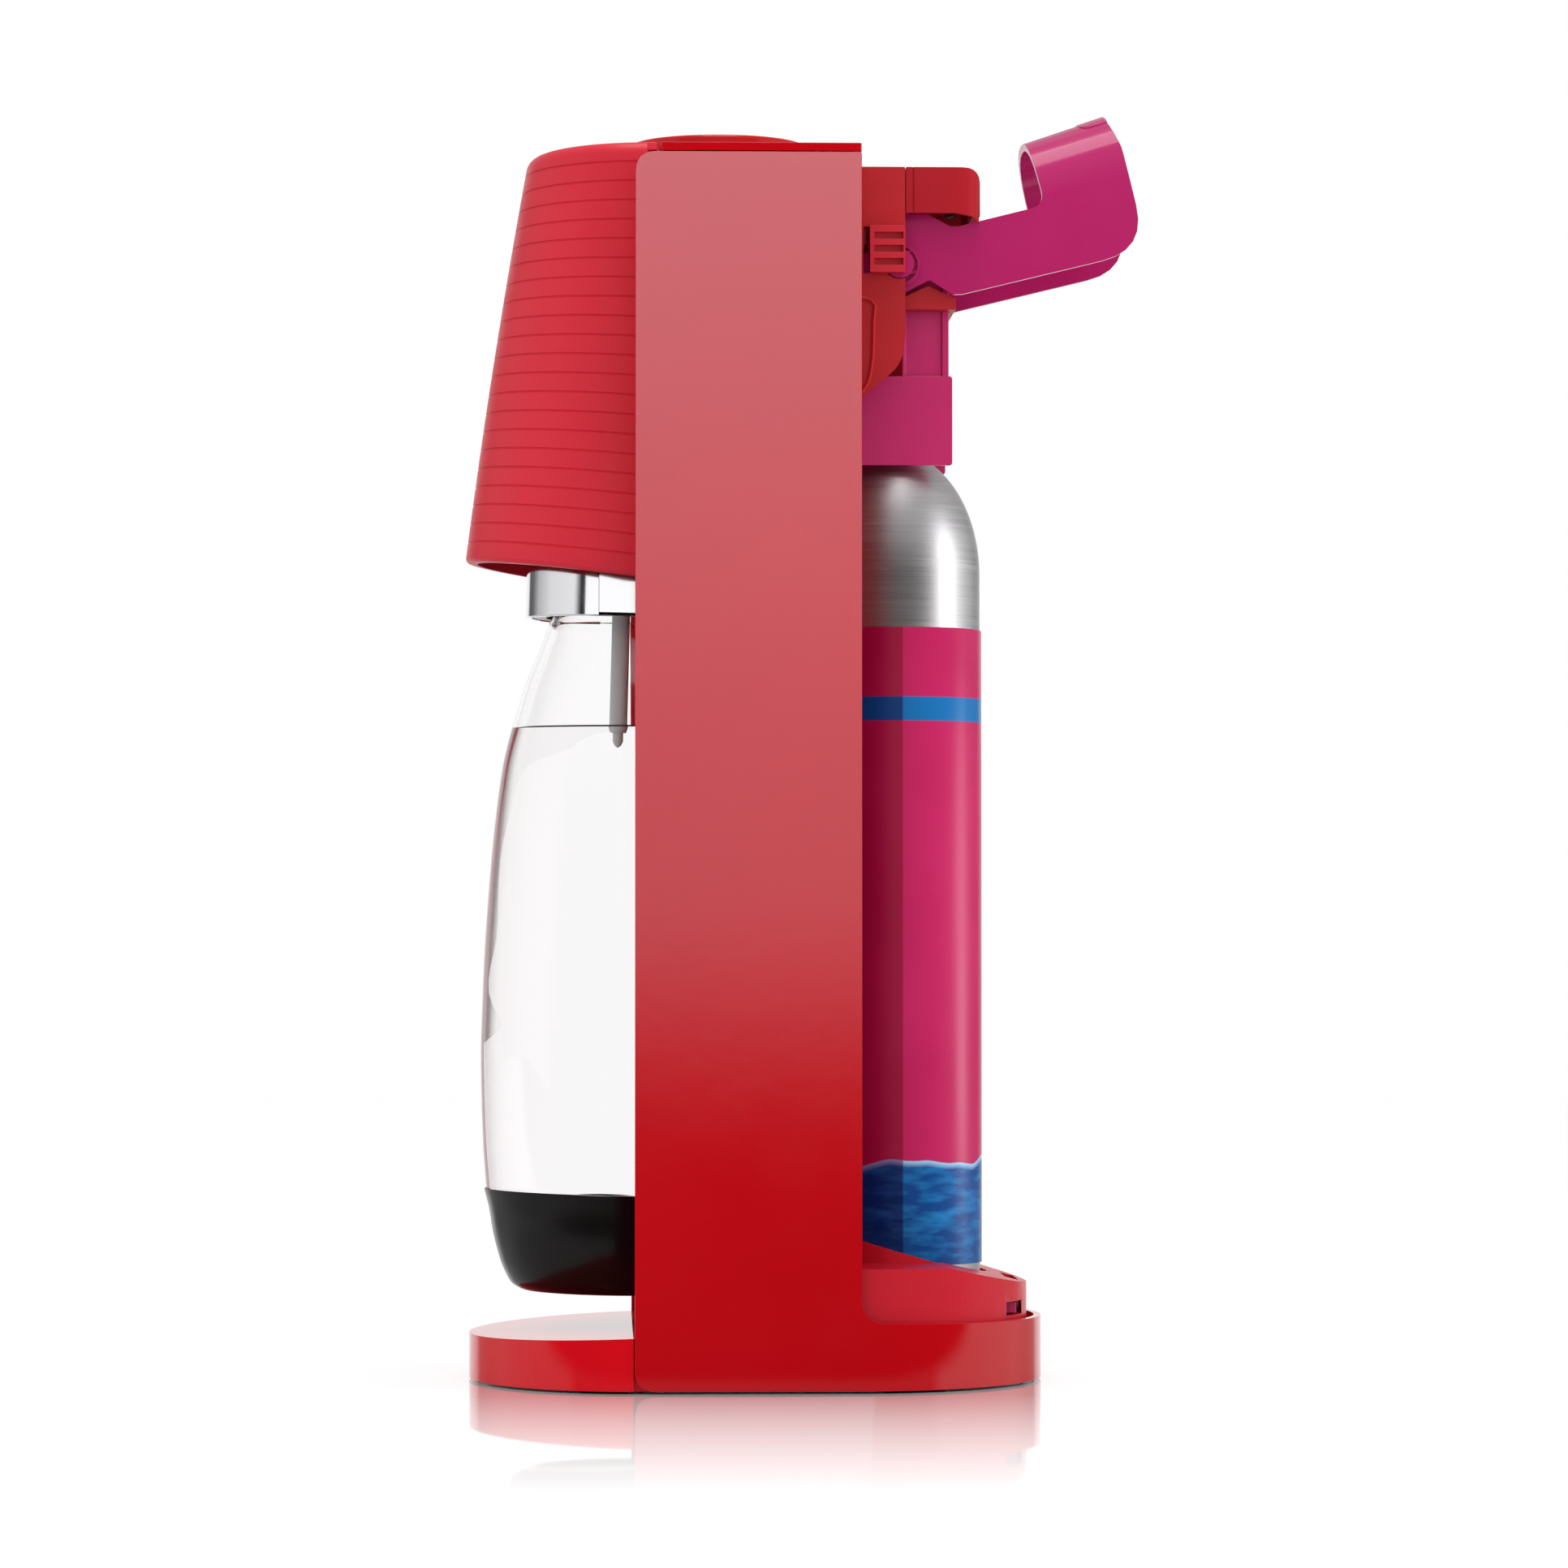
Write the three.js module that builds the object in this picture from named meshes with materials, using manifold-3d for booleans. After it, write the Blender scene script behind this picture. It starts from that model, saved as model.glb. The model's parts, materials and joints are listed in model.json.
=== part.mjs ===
// A countertop soda carbonator with its rear cover off: red housing, tilting bottle holder,
// clear bottle, gas cylinder and pink quick-connect lever.
// Millimetres, +Z up, front of the machine towards -Y. Y = 0 is the middle of the base.
import * as THREE from 'three';
import { mergeVertices } from 'three/addons/utils/BufferGeometryUtils.js';
import Module from 'manifold-3d';

const wasm = await Module();
wasm.setup();

// ---------------------------------------------------------------- driving dimensions
const GAP = 0.3;                 // clearance between touching pieces
const WALL = 2.5;                // wall of the moulded housings
const BODY_HALF_WIDTH = 75;
const PANEL_FRONT = -41.9;
const PANEL_REAR = 33.7;
const PANEL_TOP = 414.1;
const PANEL_CORNER = 7;
const SKIRT_TOP = 23.4;          // rear base skirt, at the panel
const SKIRT_TOP_REAR = 22;
const BASE_BOTTOM = 0.8;
const BASE_TOP = 18.4;
const FOOT_FRONT = -98.3;
const FOOT_TIP_TOP = 16.2;       // the front foot slopes down to its tip
const REAR_LENGTH = 65;          // the base's rear half-ellipse, behind the panels
const COVER_TOP = 417.1;
const WALL_FRONT = 0;            // front face of the inner wall behind the bottle
const DECK_TOP = 411.3;

const SHROUD_HALF_WIDTH_TOP = 44;
const SHROUD_HALF_WIDTH = 50;     // at the lower rim
const SHROUD_TOP = 421.5;
const SHROUD_BOTTOM = 280.8;     // at the front centre line
const SHROUD_FRONT_TOP = -78.3;
const SHROUD_FRONT_BOTTOM = -100;
const SHROUD_BULGE = 1;          // its front line bows forward by this much halfway down
const SHROUD_REAR = WALL_FRONT - GAP;
const SHROUD_BOTTOM_DROP = 7.4;  // the rim falls towards the panels
const SHROUD_TOP_DROP = 1.2;
const WING_FRONT = -38;          // flat flanges from the shroud out to the side panels
const WING_REAR = -34.8;
const WING_BOTTOM = 274;

const BUTTON_Y = -12.8;
const BUTTON_RADIUS = 24.7;
const BUTTON_TOP = 425.3;
const RING_RADIUS = 29.4;
const RING_TOP = 426;

const HOLDER_Y = -46.2;          // bottle axis at the collar's lower edge
const HOLDER_Z = 261;
const HOLDER_TILT = THREE.MathUtils.degToRad(1.5);
const HOLDER_PIVOT_Y = -18;
const HOLDER_PIVOT_Z = 322;
const COLLAR_RADIUS = 33;
const BOTTLE_RADIUS = 43.4;
const BOTTLE_BOTTOM = -231.3;    // below the collar's lower edge
const CUP_TOP = -197;
const BOTTLE_MOUTH = 22;

const CYLINDER_Y = 48.2;
const CYLINDER_RADIUS = 29.7;
const CYLINDER_BOTTOM = 32;
const CYLINDER_SHOULDER = 277;
const CYLINDER_NECK_TOP = 317;
const LABEL_TOP = 257.7;

const LEVER_PIVOT_Y = 48.3;
const LEVER_PIVOT_Z = 381.1;
const LEVER_TILT = THREE.MathUtils.degToRad(13.7);
const LEVER_HALF_WIDTH = 31;
const LEVER_LENGTH = 84.1;
const CHEEK_OUTER = 38;
const CHEEK_REAR = 50.2;
const BRACKET_TOP = 414;
const CATCH_FRONT = 38;
const CATCH_BOTTOM = 377.6;
const CATCH_TOP = 393.6;
const CAP_REAR = 76.3;
const CAP_BOTTOM = 398.4;
const GUIDE_HALF_WIDTH = 27.5;
const GUIDE_BOTTOM = 366.5;
const CARRIER_BOTTOM = 313.6;
const CARRIER_TOP = 344.3;
const ACTUATOR_PIVOT_Y = 67;
const ACTUATOR_PIVOT_Z = 402;

// ---------------------------------------------------------------- solids and booleans
function flipped(indices) {
  const turned = Array.from(indices);
  for (let i = 0; i < turned.length; i += 3) {
    [turned[i], turned[i + 1]] = [turned[i + 1], turned[i]];
  }
  return turned;
}

function signedVolume(positions, indices) {
  const corner = (i) => new THREE.Vector3().fromArray(positions, 3 * indices[i]);
  let volume = 0;
  for (let i = 0; i < indices.length; i += 3) {
    volume += corner(i).dot(corner(i + 1).cross(corner(i + 2)));
  }
  return volume / 6;
}

// A closed geometry becomes a manifold solid whose faces point outwards.
function solid(geometry) {
  const plain = new THREE.BufferGeometry();
  plain.setAttribute('position', geometry.getAttribute('position').clone());
  if (geometry.index) plain.setIndex(geometry.index.clone());
  const merged = mergeVertices(plain, 1e-4);
  const positions = new Float32Array(merged.getAttribute('position').array);
  let indices = Array.from(merged.index.array);
  if (signedVolume(positions, indices) < 0) indices = flipped(indices);
  return new wasm.Manifold(new wasm.Mesh({
    numProp: 3, vertProperties: positions, triVerts: new Uint32Array(indices),
  }));
}

function geometryOf(manifold) {
  const mesh = manifold.getMesh();
  const geometry = new THREE.BufferGeometry();
  geometry.setAttribute('position', new THREE.BufferAttribute(mesh.vertProperties, 3));
  geometry.setIndex(new THREE.BufferAttribute(mesh.triVerts, 1));
  geometry.computeVertexNormals();
  return geometry;
}

const join = (first, ...others) => others.reduce((sum, piece) => sum.add(piece), first);
const cut = (first, ...others) => others.reduce((rest, piece) => rest.subtract(piece), first);

// ---------------------------------------------------------------- basic forms
function box(x0, x1, y0, y1, z0, z1) {
  const geometry = new THREE.BoxGeometry(x1 - x0, y1 - y0, z1 - z0);
  geometry.translate((x0 + x1) / 2, (y0 + y1) / 2, (z0 + z1) / 2);
  return solid(geometry);
}

// The same box on both sides of the machine, from x0 to x1 away from the middle.
const boxPair = (x0, x1, ...rest) => join(box(x0, x1, ...rest), box(-x1, -x0, ...rest));

function extrudeZ(shape, z0, z1, curveSegments = 16) {
  const geometry = new THREE.ExtrudeGeometry(shape, {
    depth: z1 - z0, bevelEnabled: false, curveSegments,
  });
  geometry.translate(0, 0, z0);
  return solid(geometry);
}

// A shape drawn in (Y, Z) and extruded along X.
function extrudeX(shape, x0, x1, curveSegments = 12) {
  const geometry = new THREE.ExtrudeGeometry(shape, {
    depth: x1 - x0, bevelEnabled: false, curveSegments,
  });
  const axes = new THREE.Matrix4().makeBasis(
    new THREE.Vector3(0, 1, 0), new THREE.Vector3(0, 0, 1), new THREE.Vector3(1, 0, 0));
  geometry.applyMatrix4(axes);
  geometry.translate(x0, 0, 0);
  return solid(geometry);
}

// A closed profile of [radius, height] points turned about a vertical axis.
function turned(profile, x = 0, y = 0, segments = 24) {
  const points = profile.map(([radius, height]) => new THREE.Vector2(radius, height));
  const geometry = new THREE.LatheGeometry(points, segments);
  geometry.rotateX(Math.PI / 2);
  geometry.translate(x, y, 0);
  return solid(geometry);
}

const disc = (radius, z0, z1, x = 0, y = 0, segments = 24) =>
  turned([[0, z0], [radius, z0], [radius, z1], [0, z1]], x, y, segments);

// A rod along X.
function rodX(radius, x0, x1, y, z, segments = 16) {
  const geometry = new THREE.CylinderGeometry(radius, radius, x1 - x0, segments);
  geometry.rotateZ(Math.PI / 2);
  geometry.translate((x0 + x1) / 2, y, z);
  return solid(geometry);
}

const rodPair = (radius, x0, x1, y, z) =>
  join(rodX(radius, x0, x1, y, z), rodX(radius, -x1, -x0, y, z));

function rodY(radius, y0, y1, x, z, segments = 16) {
  const geometry = new THREE.CylinderGeometry(radius, radius, y1 - y0, segments);
  geometry.translate(x, (y0 + y1) / 2, z);
  return solid(geometry);
}

function polygon(points) {
  const shape = new THREE.Shape();
  points.forEach(([a, b], i) => (i ? shape.lineTo(a, b) : shape.moveTo(a, b)));
  shape.closePath();
  return shape;
}

// A polygon whose corners are rounded: each point is [a, b, corner radius].
function roundedPolygon(points) {
  const shape = new THREE.Shape();
  const count = points.length;
  points.forEach(([a, b, radius = 0], i) => {
    const here = new THREE.Vector2(a, b);
    const before = new THREE.Vector2(...points[(i + count - 1) % count]);
    const after = new THREE.Vector2(...points[(i + 1) % count]);
    const inward = before.sub(here).normalize();
    const outward = after.sub(here).normalize();
    const reach = radius / Math.tan(Math.acos(inward.dot(outward)) / 2);
    const start = here.clone().addScaledVector(inward, reach);
    const end = here.clone().addScaledVector(outward, reach);
    if (i) shape.lineTo(start.x, start.y);
    else shape.moveTo(start.x, start.y);
    if (radius) shape.quadraticCurveTo(a, b, end.x, end.y);
  });
  shape.closePath();
  return shape;
}

// The skin through a stack of closed rings with the same number of points, each drawn in (X, Y).
function loftGeometry(rings) {
  const count = rings[0].length;
  const positions = rings.flat().flatMap((point) => [point.x, point.y, point.z]);
  const indices = [];
  for (let ring = 0; ring + 1 < rings.length; ring += 1) {
    for (let i = 0; i < count; i += 1) {
      const a = ring * count + i;
      const b = ring * count + (i + 1) % count;
      indices.push(a, b, b + count, a, b + count, a + count);
    }
  }
  const outline = rings[0].map((point) => new THREE.Vector2(point.x, point.y));
  const last = (rings.length - 1) * count;
  THREE.ShapeUtils.triangulateShape(outline, []).forEach(([a, b, c]) => {
    indices.push(c, b, a, last + a, last + b, last + c);
  });
  const geometry = new THREE.BufferGeometry();
  geometry.setAttribute('position', new THREE.Float32BufferAttribute(positions, 3));
  geometry.setIndex(indices);
  return geometry;
}

const loft = (rings) => solid(loftGeometry(rings));

function tube(points, radius, steps, sides = 8) {
  const section = new THREE.Shape();
  section.absarc(0, 0, radius, 0, 2 * Math.PI, false);
  const path = new THREE.CatmullRomCurve3(points.map((point) => new THREE.Vector3(...point)));
  const geometry = new THREE.ExtrudeGeometry(section, {
    steps, curveSegments: sides / 2, extrudePath: path,
  });
  return solid(geometry);
}

// ---------------------------------------------------------------- materials
const material = (color, roughness, metalness = 0, opacity = 1) => new THREE.MeshStandardMaterial({
  color, roughness, metalness, opacity, transparent: opacity < 1,
});
const looks = {
  redGloss: () => material(0xbe0a19, 0.12),
  redSatin: () => material(0xc02a38, 0.4),
  redDark: () => material(0x96232d, 0.45),
  pink: () => material(0xaf2864, 0.35),
  black: () => material(0x141414, 0.25),
  rubber: () => material(0x1c1c1c, 0.8),
  chrome: () => material(0xd8d8dc, 0.08, 1),
  steel: () => material(0xa8a8ac, 0.3, 1),
  brass: () => material(0xb9974f, 0.3, 1),
  aluminium: () => material(0xb4b4b8, 0.38, 1),
  label: () => material(0xc81e6e, 0.35),
  grey: () => material(0xb0b3b6, 0.4),
  clear: () => material(0xeef2f4, 0.05, 0, 0.3),
  hose: () => material(0xd8dadc, 0.5),
};

const model = new THREE.Group();

function part(name, shape, look, parent = model) {
  const mesh = new THREE.Mesh(geometryOf(shape), look());
  mesh.name = name;
  parent.add(mesh);
  return mesh;
}

// ---------------------------------------------------------------- base and feet
const REAR_CENTRE = PANEL_REAR;
const INNER_HALF_WIDTH = BODY_HALF_WIDTH - WALL;

// Straight sides from yFront back to the panels' rear edge, then half an ellipse.
function rearPlan(halfWidth, yFront, rearLength) {
  const shape = new THREE.Shape();
  shape.moveTo(-halfWidth, yFront);
  shape.lineTo(halfWidth, yFront);
  shape.lineTo(halfWidth, REAR_CENTRE);
  shape.absellipse(0, REAR_CENTRE, halfWidth, rearLength, 0, Math.PI, false);
  shape.closePath();
  return shape;
}

function frontPlan(halfWidth, yRear, length) {
  const shape = new THREE.Shape();
  shape.moveTo(halfWidth, yRear);
  shape.absellipse(0, yRear, halfWidth, length, 0, -Math.PI, true);
  shape.closePath();
  return shape;
}

const SCREW_PLACES = [[-26, -72], [26, -72], [-24, 76], [24, 76]];
const FOOT_PLACES = [[-48, -52], [48, -52], [-48, 55], [48, 55]];
const RIM = 3;                            // base wall, with its clearance to the bottom cover

function base() {
  const stepY = PANEL_FRONT - GAP;
  const footLength = stepY - FOOT_FRONT;
  const inside = INNER_HALF_WIDTH - GAP;
  const insideRear = REAR_LENGTH - WALL - GAP;
  const foot = extrudeZ(frontPlan(BODY_HALF_WIDTH - 1, stepY, footLength), BASE_BOTTOM, BASE_TOP, 20);
  const slope = extrudeX(polygon([
    [FOOT_FRONT - 10, FOOT_TIP_TOP - 0.4], [stepY, BASE_TOP], [stepY, 40], [FOOT_FRONT - 10, 40],
  ]), -90, 90);
  const middle = extrudeZ(rearPlan(inside, stepY - 0.05, insideRear), BASE_BOTTOM, BASE_TOP, 24);
  const ceiling = FOOT_TIP_TOP - WALL;
  const hollowFront = extrudeZ(
    frontPlan(BODY_HALF_WIDTH - 1 - RIM, stepY, footLength - RIM), 0, ceiling, 20);
  const hollowRear = extrudeZ(rearPlan(inside - RIM, stepY - 0.05, insideRear - RIM), 0, ceiling, 24);
  const bosses = SCREW_PLACES.map(([x, y]) => cut(
    disc(4.5, 4, ceiling + 0.5, x, y, 12), disc(1.6, 3, 12, x, y, 8)));
  return join(cut(join(foot, middle), slope, hollowFront, hollowRear), ...bosses);
}

function bottomCover() {
  const stepY = PANEL_FRONT - GAP;
  const inside = INNER_HALF_WIDTH - RIM - 2 * GAP;
  const front = extrudeZ(
    frontPlan(BODY_HALF_WIDTH - 1 - RIM - GAP, stepY, stepY - FOOT_FRONT - RIM - GAP), 1.6, 3.7, 12);
  const rear = extrudeZ(rearPlan(inside, stepY - 0.05, REAR_LENGTH - WALL - RIM - 2 * GAP), 1.6, 3.7, 12);
  const screwHoles = SCREW_PLACES.flatMap(([x, y]) => [
    disc(3.4, 1, 3, x, y, 12), disc(1.8, 1, 5, x, y, 8)]);
  const footPockets = FOOT_PLACES.map(([x, y]) => disc(8.3, 1, 2.4, x, y, 16));
  return cut(join(front, rear), ...screwHoles, ...footPockets);
}

function baseScrew(x, y) {
  const head = cut(disc(3, 1.7, 2.8, x, y, 12), box(x - 2, x + 2, y - 0.4, y + 0.4, 1, 2.1));
  return join(head, disc(1.25, 2.7, 11, x, y, 8));
}

part('base', base(), looks.redGloss);
part('bottom_cover', bottomCover(), looks.black);
SCREW_PLACES.forEach(([x, y], i) => part(`base_screw_${i + 1}`, baseScrew(x, y), looks.steel));
FOOT_PLACES.forEach(([x, y], i) => part(`rubber_foot_${i + 1}`, disc(8, 0, 2.1, x, y, 16), looks.rubber));

// ---------------------------------------------------------------- side panels with rear skirt
function sidePanel(side) {
  const plan = cut(
    extrudeZ(rearPlan(BODY_HALF_WIDTH, PANEL_FRONT, REAR_LENGTH), BASE_BOTTOM, PANEL_TOP, 32),
    extrudeZ(rearPlan(INNER_HALF_WIDTH, PANEL_FRONT - 1, REAR_LENGTH - WALL), 0, PANEL_TOP + 1, 32));
  const fillet = 7.6;
  const profile = roundedPolygon([
    [PANEL_FRONT, BASE_BOTTOM, PANEL_CORNER], [PANEL_FRONT, PANEL_TOP, PANEL_CORNER],
    [PANEL_REAR, PANEL_TOP, 1], [PANEL_REAR, SKIRT_TOP, fillet + 1],
    [PANEL_REAR + REAR_LENGTH + 1, SKIRT_TOP_REAR], [PANEL_REAR + REAR_LENGTH + 1, BASE_BOTTOM],
  ]);
  const reach = [GAP / 2, BODY_HALF_WIDTH + 1].map((x) => x * side).sort((a, b) => a - b);
  return plan.intersect(extrudeX(profile, ...reach, 8));
}

part('side_panel_right', sidePanel(1), looks.redGloss);
part('side_panel_left', sidePanel(-1), looks.redGloss);

// ---------------------------------------------------------------- front shroud
// One ring of the shroud: level 0 is the top plane and 1 the lower rim.
function shroudRing(level, inset, lift = 0) {
  const zFront = THREE.MathUtils.lerp(SHROUD_TOP, SHROUD_BOTTOM, level) + lift;
  const drop = THREE.MathUtils.lerp(SHROUD_TOP_DROP, SHROUD_BOTTOM_DROP, level);
  const bulge = 4 * SHROUD_BULGE * level * (1 - level);
  const front = THREE.MathUtils.lerp(SHROUD_FRONT_TOP, SHROUD_FRONT_BOTTOM, level) - bulge + inset;
  const halfWidth = THREE.MathUtils.lerp(SHROUD_HALF_WIDTH_TOP, SHROUD_HALF_WIDTH, level) - inset;
  const length = PANEL_FRONT - front;
  const steps = 28;
  const points = [new THREE.Vector2(-halfWidth, SHROUD_REAR)];
  for (let i = 0; i <= steps; i += 1) {
    const angle = Math.PI + (Math.PI * i) / steps;
    points.push(new THREE.Vector2(
      halfWidth * Math.cos(angle), PANEL_FRONT + length * Math.sin(angle)));
  }
  points.push(new THREE.Vector2(halfWidth, SHROUD_REAR));
  const slope = drop / (PANEL_FRONT - SHROUD_FRONT_BOTTOM);
  return points.map(({ x, y }) => new THREE.Vector3(x, y, zFront - slope * (y - front)));
}

const LOBE_RADIUS = RING_RADIUS + 4;

function frontShroud() {
  const edge = 3.2;
  const outer = loft([
    shroudRing(0, edge), shroudRing(0, 1.2, -1.2), shroudRing(0, 0, -edge),
    shroudRing(0.3, 0), shroudRing(0.65, 0), shroudRing(1, 0, 2), shroudRing(1, 1.2),
  ].reverse());
  const inner = loft([
    shroudRing(0, edge + WALL, -WALL), shroudRing(0, WALL, -edge - WALL),
    shroudRing(0.3, WALL), shroudRing(0.65, WALL),
    shroudRing(0.97, WALL), shroudRing(1, 4.2, 0.5), shroudRing(1, 4.2, -12),
  ].reverse());
  const openBack = box(-SHROUD_HALF_WIDTH + WALL, SHROUD_HALF_WIDTH - WALL, -20, 5, 250, 412);
  const inside = INNER_HALF_WIDTH - GAP;
  const wings = join(
    boxPair(SHROUD_HALF_WIDTH_TOP - 6, inside, WING_FRONT, WING_REAR, WING_BOTTOM, COVER_TOP),
    boxPair(inside - 2, BODY_HALF_WIDTH, WING_FRONT, WING_REAR, PANEL_TOP + GAP, COVER_TOP));
  const coverSeat = join(
    box(-80, 80, -33.6, 10, 408, 440),
    disc(LOBE_RADIUS + GAP, 408, 440, 0, BUTTON_Y, 32));
  return cut(join(cut(outer, openBack), wings), inner, coverSeat);
}

part('front_shroud', frontShroud(), looks.redSatin);

// ---------------------------------------------------------------- top cover, ring and button
function topCover() {
  const plate = extrudeZ(roundedPolygon([
    [-BODY_HALF_WIDTH, -33.3, 0.6], [BODY_HALF_WIDTH, -33.3, 0.6],
    [BODY_HALF_WIDTH, PANEL_REAR, 1], [-BODY_HALF_WIDTH, PANEL_REAR, 1],
  ]), PANEL_TOP + GAP, COVER_TOP, 3);
  const lobe = disc(LOBE_RADIUS, PANEL_TOP + GAP, COVER_TOP, 0, BUTTON_Y, 32);
  return cut(join(plate, lobe), disc(BUTTON_RADIUS + 0.5, 400, 430, 0, BUTTON_Y, 24));
}

const buttonRing = () => turned([
  [BUTTON_RADIUS + 0.5, COVER_TOP + GAP], [RING_RADIUS + 3.4, COVER_TOP + GAP],
  [RING_RADIUS + 1.4, 421], [RING_RADIUS, RING_TOP - 1.2], [RING_RADIUS - 1.2, RING_TOP],
  [BUTTON_RADIUS + 1.6, RING_TOP], [BUTTON_RADIUS + 0.5, RING_TOP - 1],
  [BUTTON_RADIUS + 0.5, COVER_TOP + GAP],
], 0, BUTTON_Y);

const STEM_BOTTOM = 405.5;

const carbonationButton = () => turned([
  [0, STEM_BOTTOM], [3.6, STEM_BOTTOM], [3.6, 422.4], [22.6, 422.4], [22.6, 418.8],
  [BUTTON_RADIUS, 418.8], [BUTTON_RADIUS, BUTTON_TOP - 1.2], [BUTTON_RADIUS - 1.2, BUTTON_TOP],
  [14, BUTTON_TOP - 0.9], [0, BUTTON_TOP - 1.2],
], 0, BUTTON_Y);

function buttonSpring() {
  const turns = 3;
  const stepsPerTurn = 8;
  const radius = 7;
  const low = DECK_TOP + 0.9;
  const high = 421.6;
  const points = [];
  for (let i = 0; i <= turns * stepsPerTurn; i += 1) {
    const angle = (2 * Math.PI * i) / stepsPerTurn;
    const height = low + ((high - low) * i) / (turns * stepsPerTurn);
    points.push([radius * Math.cos(angle), BUTTON_Y + radius * Math.sin(angle), height]);
  }
  return tube(points, 0.5, turns * stepsPerTurn, 6);
}

part('top_cover', topCover(), looks.redGloss);
part('button_ring', buttonRing(), looks.redGloss);
part('carbonation_button', carbonationButton(), looks.redGloss);
part('button_spring', buttonSpring(), looks.steel);

// ---------------------------------------------------------------- chassis
const HOSE_HOLE = { x: 14.5, z: 348, radius: 3.6 };      // where the hose passes the inner wall

const hoseHole = (y0, y1) => rodY(HOSE_HOLE.radius, y0, y1, HOSE_HOLE.x, HOSE_HOLE.z);

function chassis() {
  const side = INNER_HALF_WIDTH - GAP;
  const floor = BASE_TOP + GAP;
  const wall = box(-side, side, WALL_FRONT, 3, floor, DECK_TOP);
  const flanges = boxPair(side - WALL, side, 2.9, PANEL_REAR - 0.5, 44, DECK_TOP);
  const deckRear = box(-side, side, 2.9, PANEL_REAR - 0.5, DECK_TOP - WALL, DECK_TOP);
  const deckHalfWidth = SHROUD_HALF_WIDTH_TOP - WALL - 2 * GAP;
  const deckFront = box(-deckHalfWidth, deckHalfWidth, -48, 0.1, DECK_TOP - WALL - 1, DECK_TOP - 1);
  const ribs = boxPair(44, 46.5, 2.9, 15, 60, 330);
  const ears = boxPair(28, 31, -24, 0.1, HOLDER_PIVOT_Z - 10, HOLDER_PIVOT_Z + 10);
  const springSeat = disc(10, DECK_TOP - 2, DECK_TOP + 0.2, 0, BUTTON_Y, 24);
  return cut(
    join(wall, flanges, deckRear, deckFront, ribs, ears, springSeat),
    disc(4.2, 400, 420, 0, BUTTON_Y, 24),
    box(-8, 8, -1, 40, 386, 408.5),
    hoseHole(-5, 5),
    rodPair(3.4, 20, 35, HOLDER_PIVOT_Y, HOLDER_PIVOT_Z));
}

part('chassis', chassis(), looks.redDark);

// ---------------------------------------------------------------- lever bracket, catches, rear cap
// A raised bead curling over the cheek's outer face.
const cheekBead = (x) => tube([
  [33.5, 369.3], [37, 369], [39.7, 367.2], [39.4, 362.5], [38.8, 347], [37, 339.5], [34, 336],
].map(([y, z]) => [x, y, z]), 0.8, 16, 6);

function leverBracket() {
  const cheekProfile = roundedPolygon([
    [8, 333], [33, 333, 1], [CHEEK_REAR - 1, 347, 14], [CHEEK_REAR, 356, 3],
    [CHEEK_REAR, BRACKET_TOP, 0.6], [8, BRACKET_TOP],
  ]);
  const inner = CHEEK_OUTER - WALL;
  const cheeks = join(
    extrudeX(cheekProfile, inner, CHEEK_OUTER), extrudeX(cheekProfile, -CHEEK_OUTER, -inner));
  const front = box(-CHEEK_OUTER, CHEEK_OUTER, 3.3, 8.1, 333, DECK_TOP - WALL - GAP);
  const frontTop = box(-CHEEK_OUTER, CHEEK_OUTER, PANEL_REAR, 37, 388, BRACKET_TOP);
  const roof = box(-inner - 0.1, inner + 0.1, PANEL_REAR, CHEEK_REAR, BRACKET_TOP - WALL, BRACKET_TOP);
  const underDeck = box(-80, 80, 0, PANEL_REAR - 0.3, DECK_TOP - WALL - GAP, 430);
  const arms = boxPair(8, 10.5, CHEEK_REAR - 12, 71, 397, BRACKET_TOP - 2 * WALL);
  const armTie = box(-inner - 0.1, inner + 0.1, CHEEK_REAR - 12, CHEEK_REAR, 407, BRACKET_TOP - 1);
  const catchSlots = boxPair(
    inner - 1, CHEEK_OUTER + 1, CATCH_FRONT - 2, CATCH_FRONT, CATCH_BOTTOM, CATCH_TOP);
  return cut(
    join(cheeks, front, frontTop, roof, arms, armTie, cheekBead(CHEEK_OUTER), cheekBead(-CHEEK_OUTER)),
    underDeck,
    catchSlots,
    box(-7.5, 7.5, 0, 90, 386, 408.5),
    rodPair(2.5, 7, 12, ACTUATOR_PIVOT_Y, ACTUATOR_PIVOT_Z),
    rodPair(5.4, 30, 45, LEVER_PIVOT_Y, LEVER_PIVOT_Z),
    hoseHole(0, 12));
}

function coverCatch(side) {
  const block = [CHEEK_OUTER + GAP, CHEEK_OUTER + 4.3].map((x) => x * side).sort((a, b) => a - b);
  const slot = [CHEEK_OUTER + 1.8, CHEEK_OUTER + 6].map((x) => x * side).sort((a, b) => a - b);
  const rear = CHEEK_REAR - 0.2;
  const body = extrudeX(roundedPolygon([
    [CATCH_FRONT, CATCH_BOTTOM, 0.5], [rear, CATCH_BOTTOM, 0.8],
    [rear, CATCH_TOP, 0.8], [CATCH_FRONT, CATCH_TOP, 0.5],
  ]), ...block, 3);
  const slots = [2.5, 6.95, 11.4].map((z) => box(
    ...slot, CATCH_FRONT + 1.4, rear - 0.7, CATCH_BOTTOM + z, CATCH_BOTTOM + z + 2.3));
  return cut(body, ...slots);
}

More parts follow.
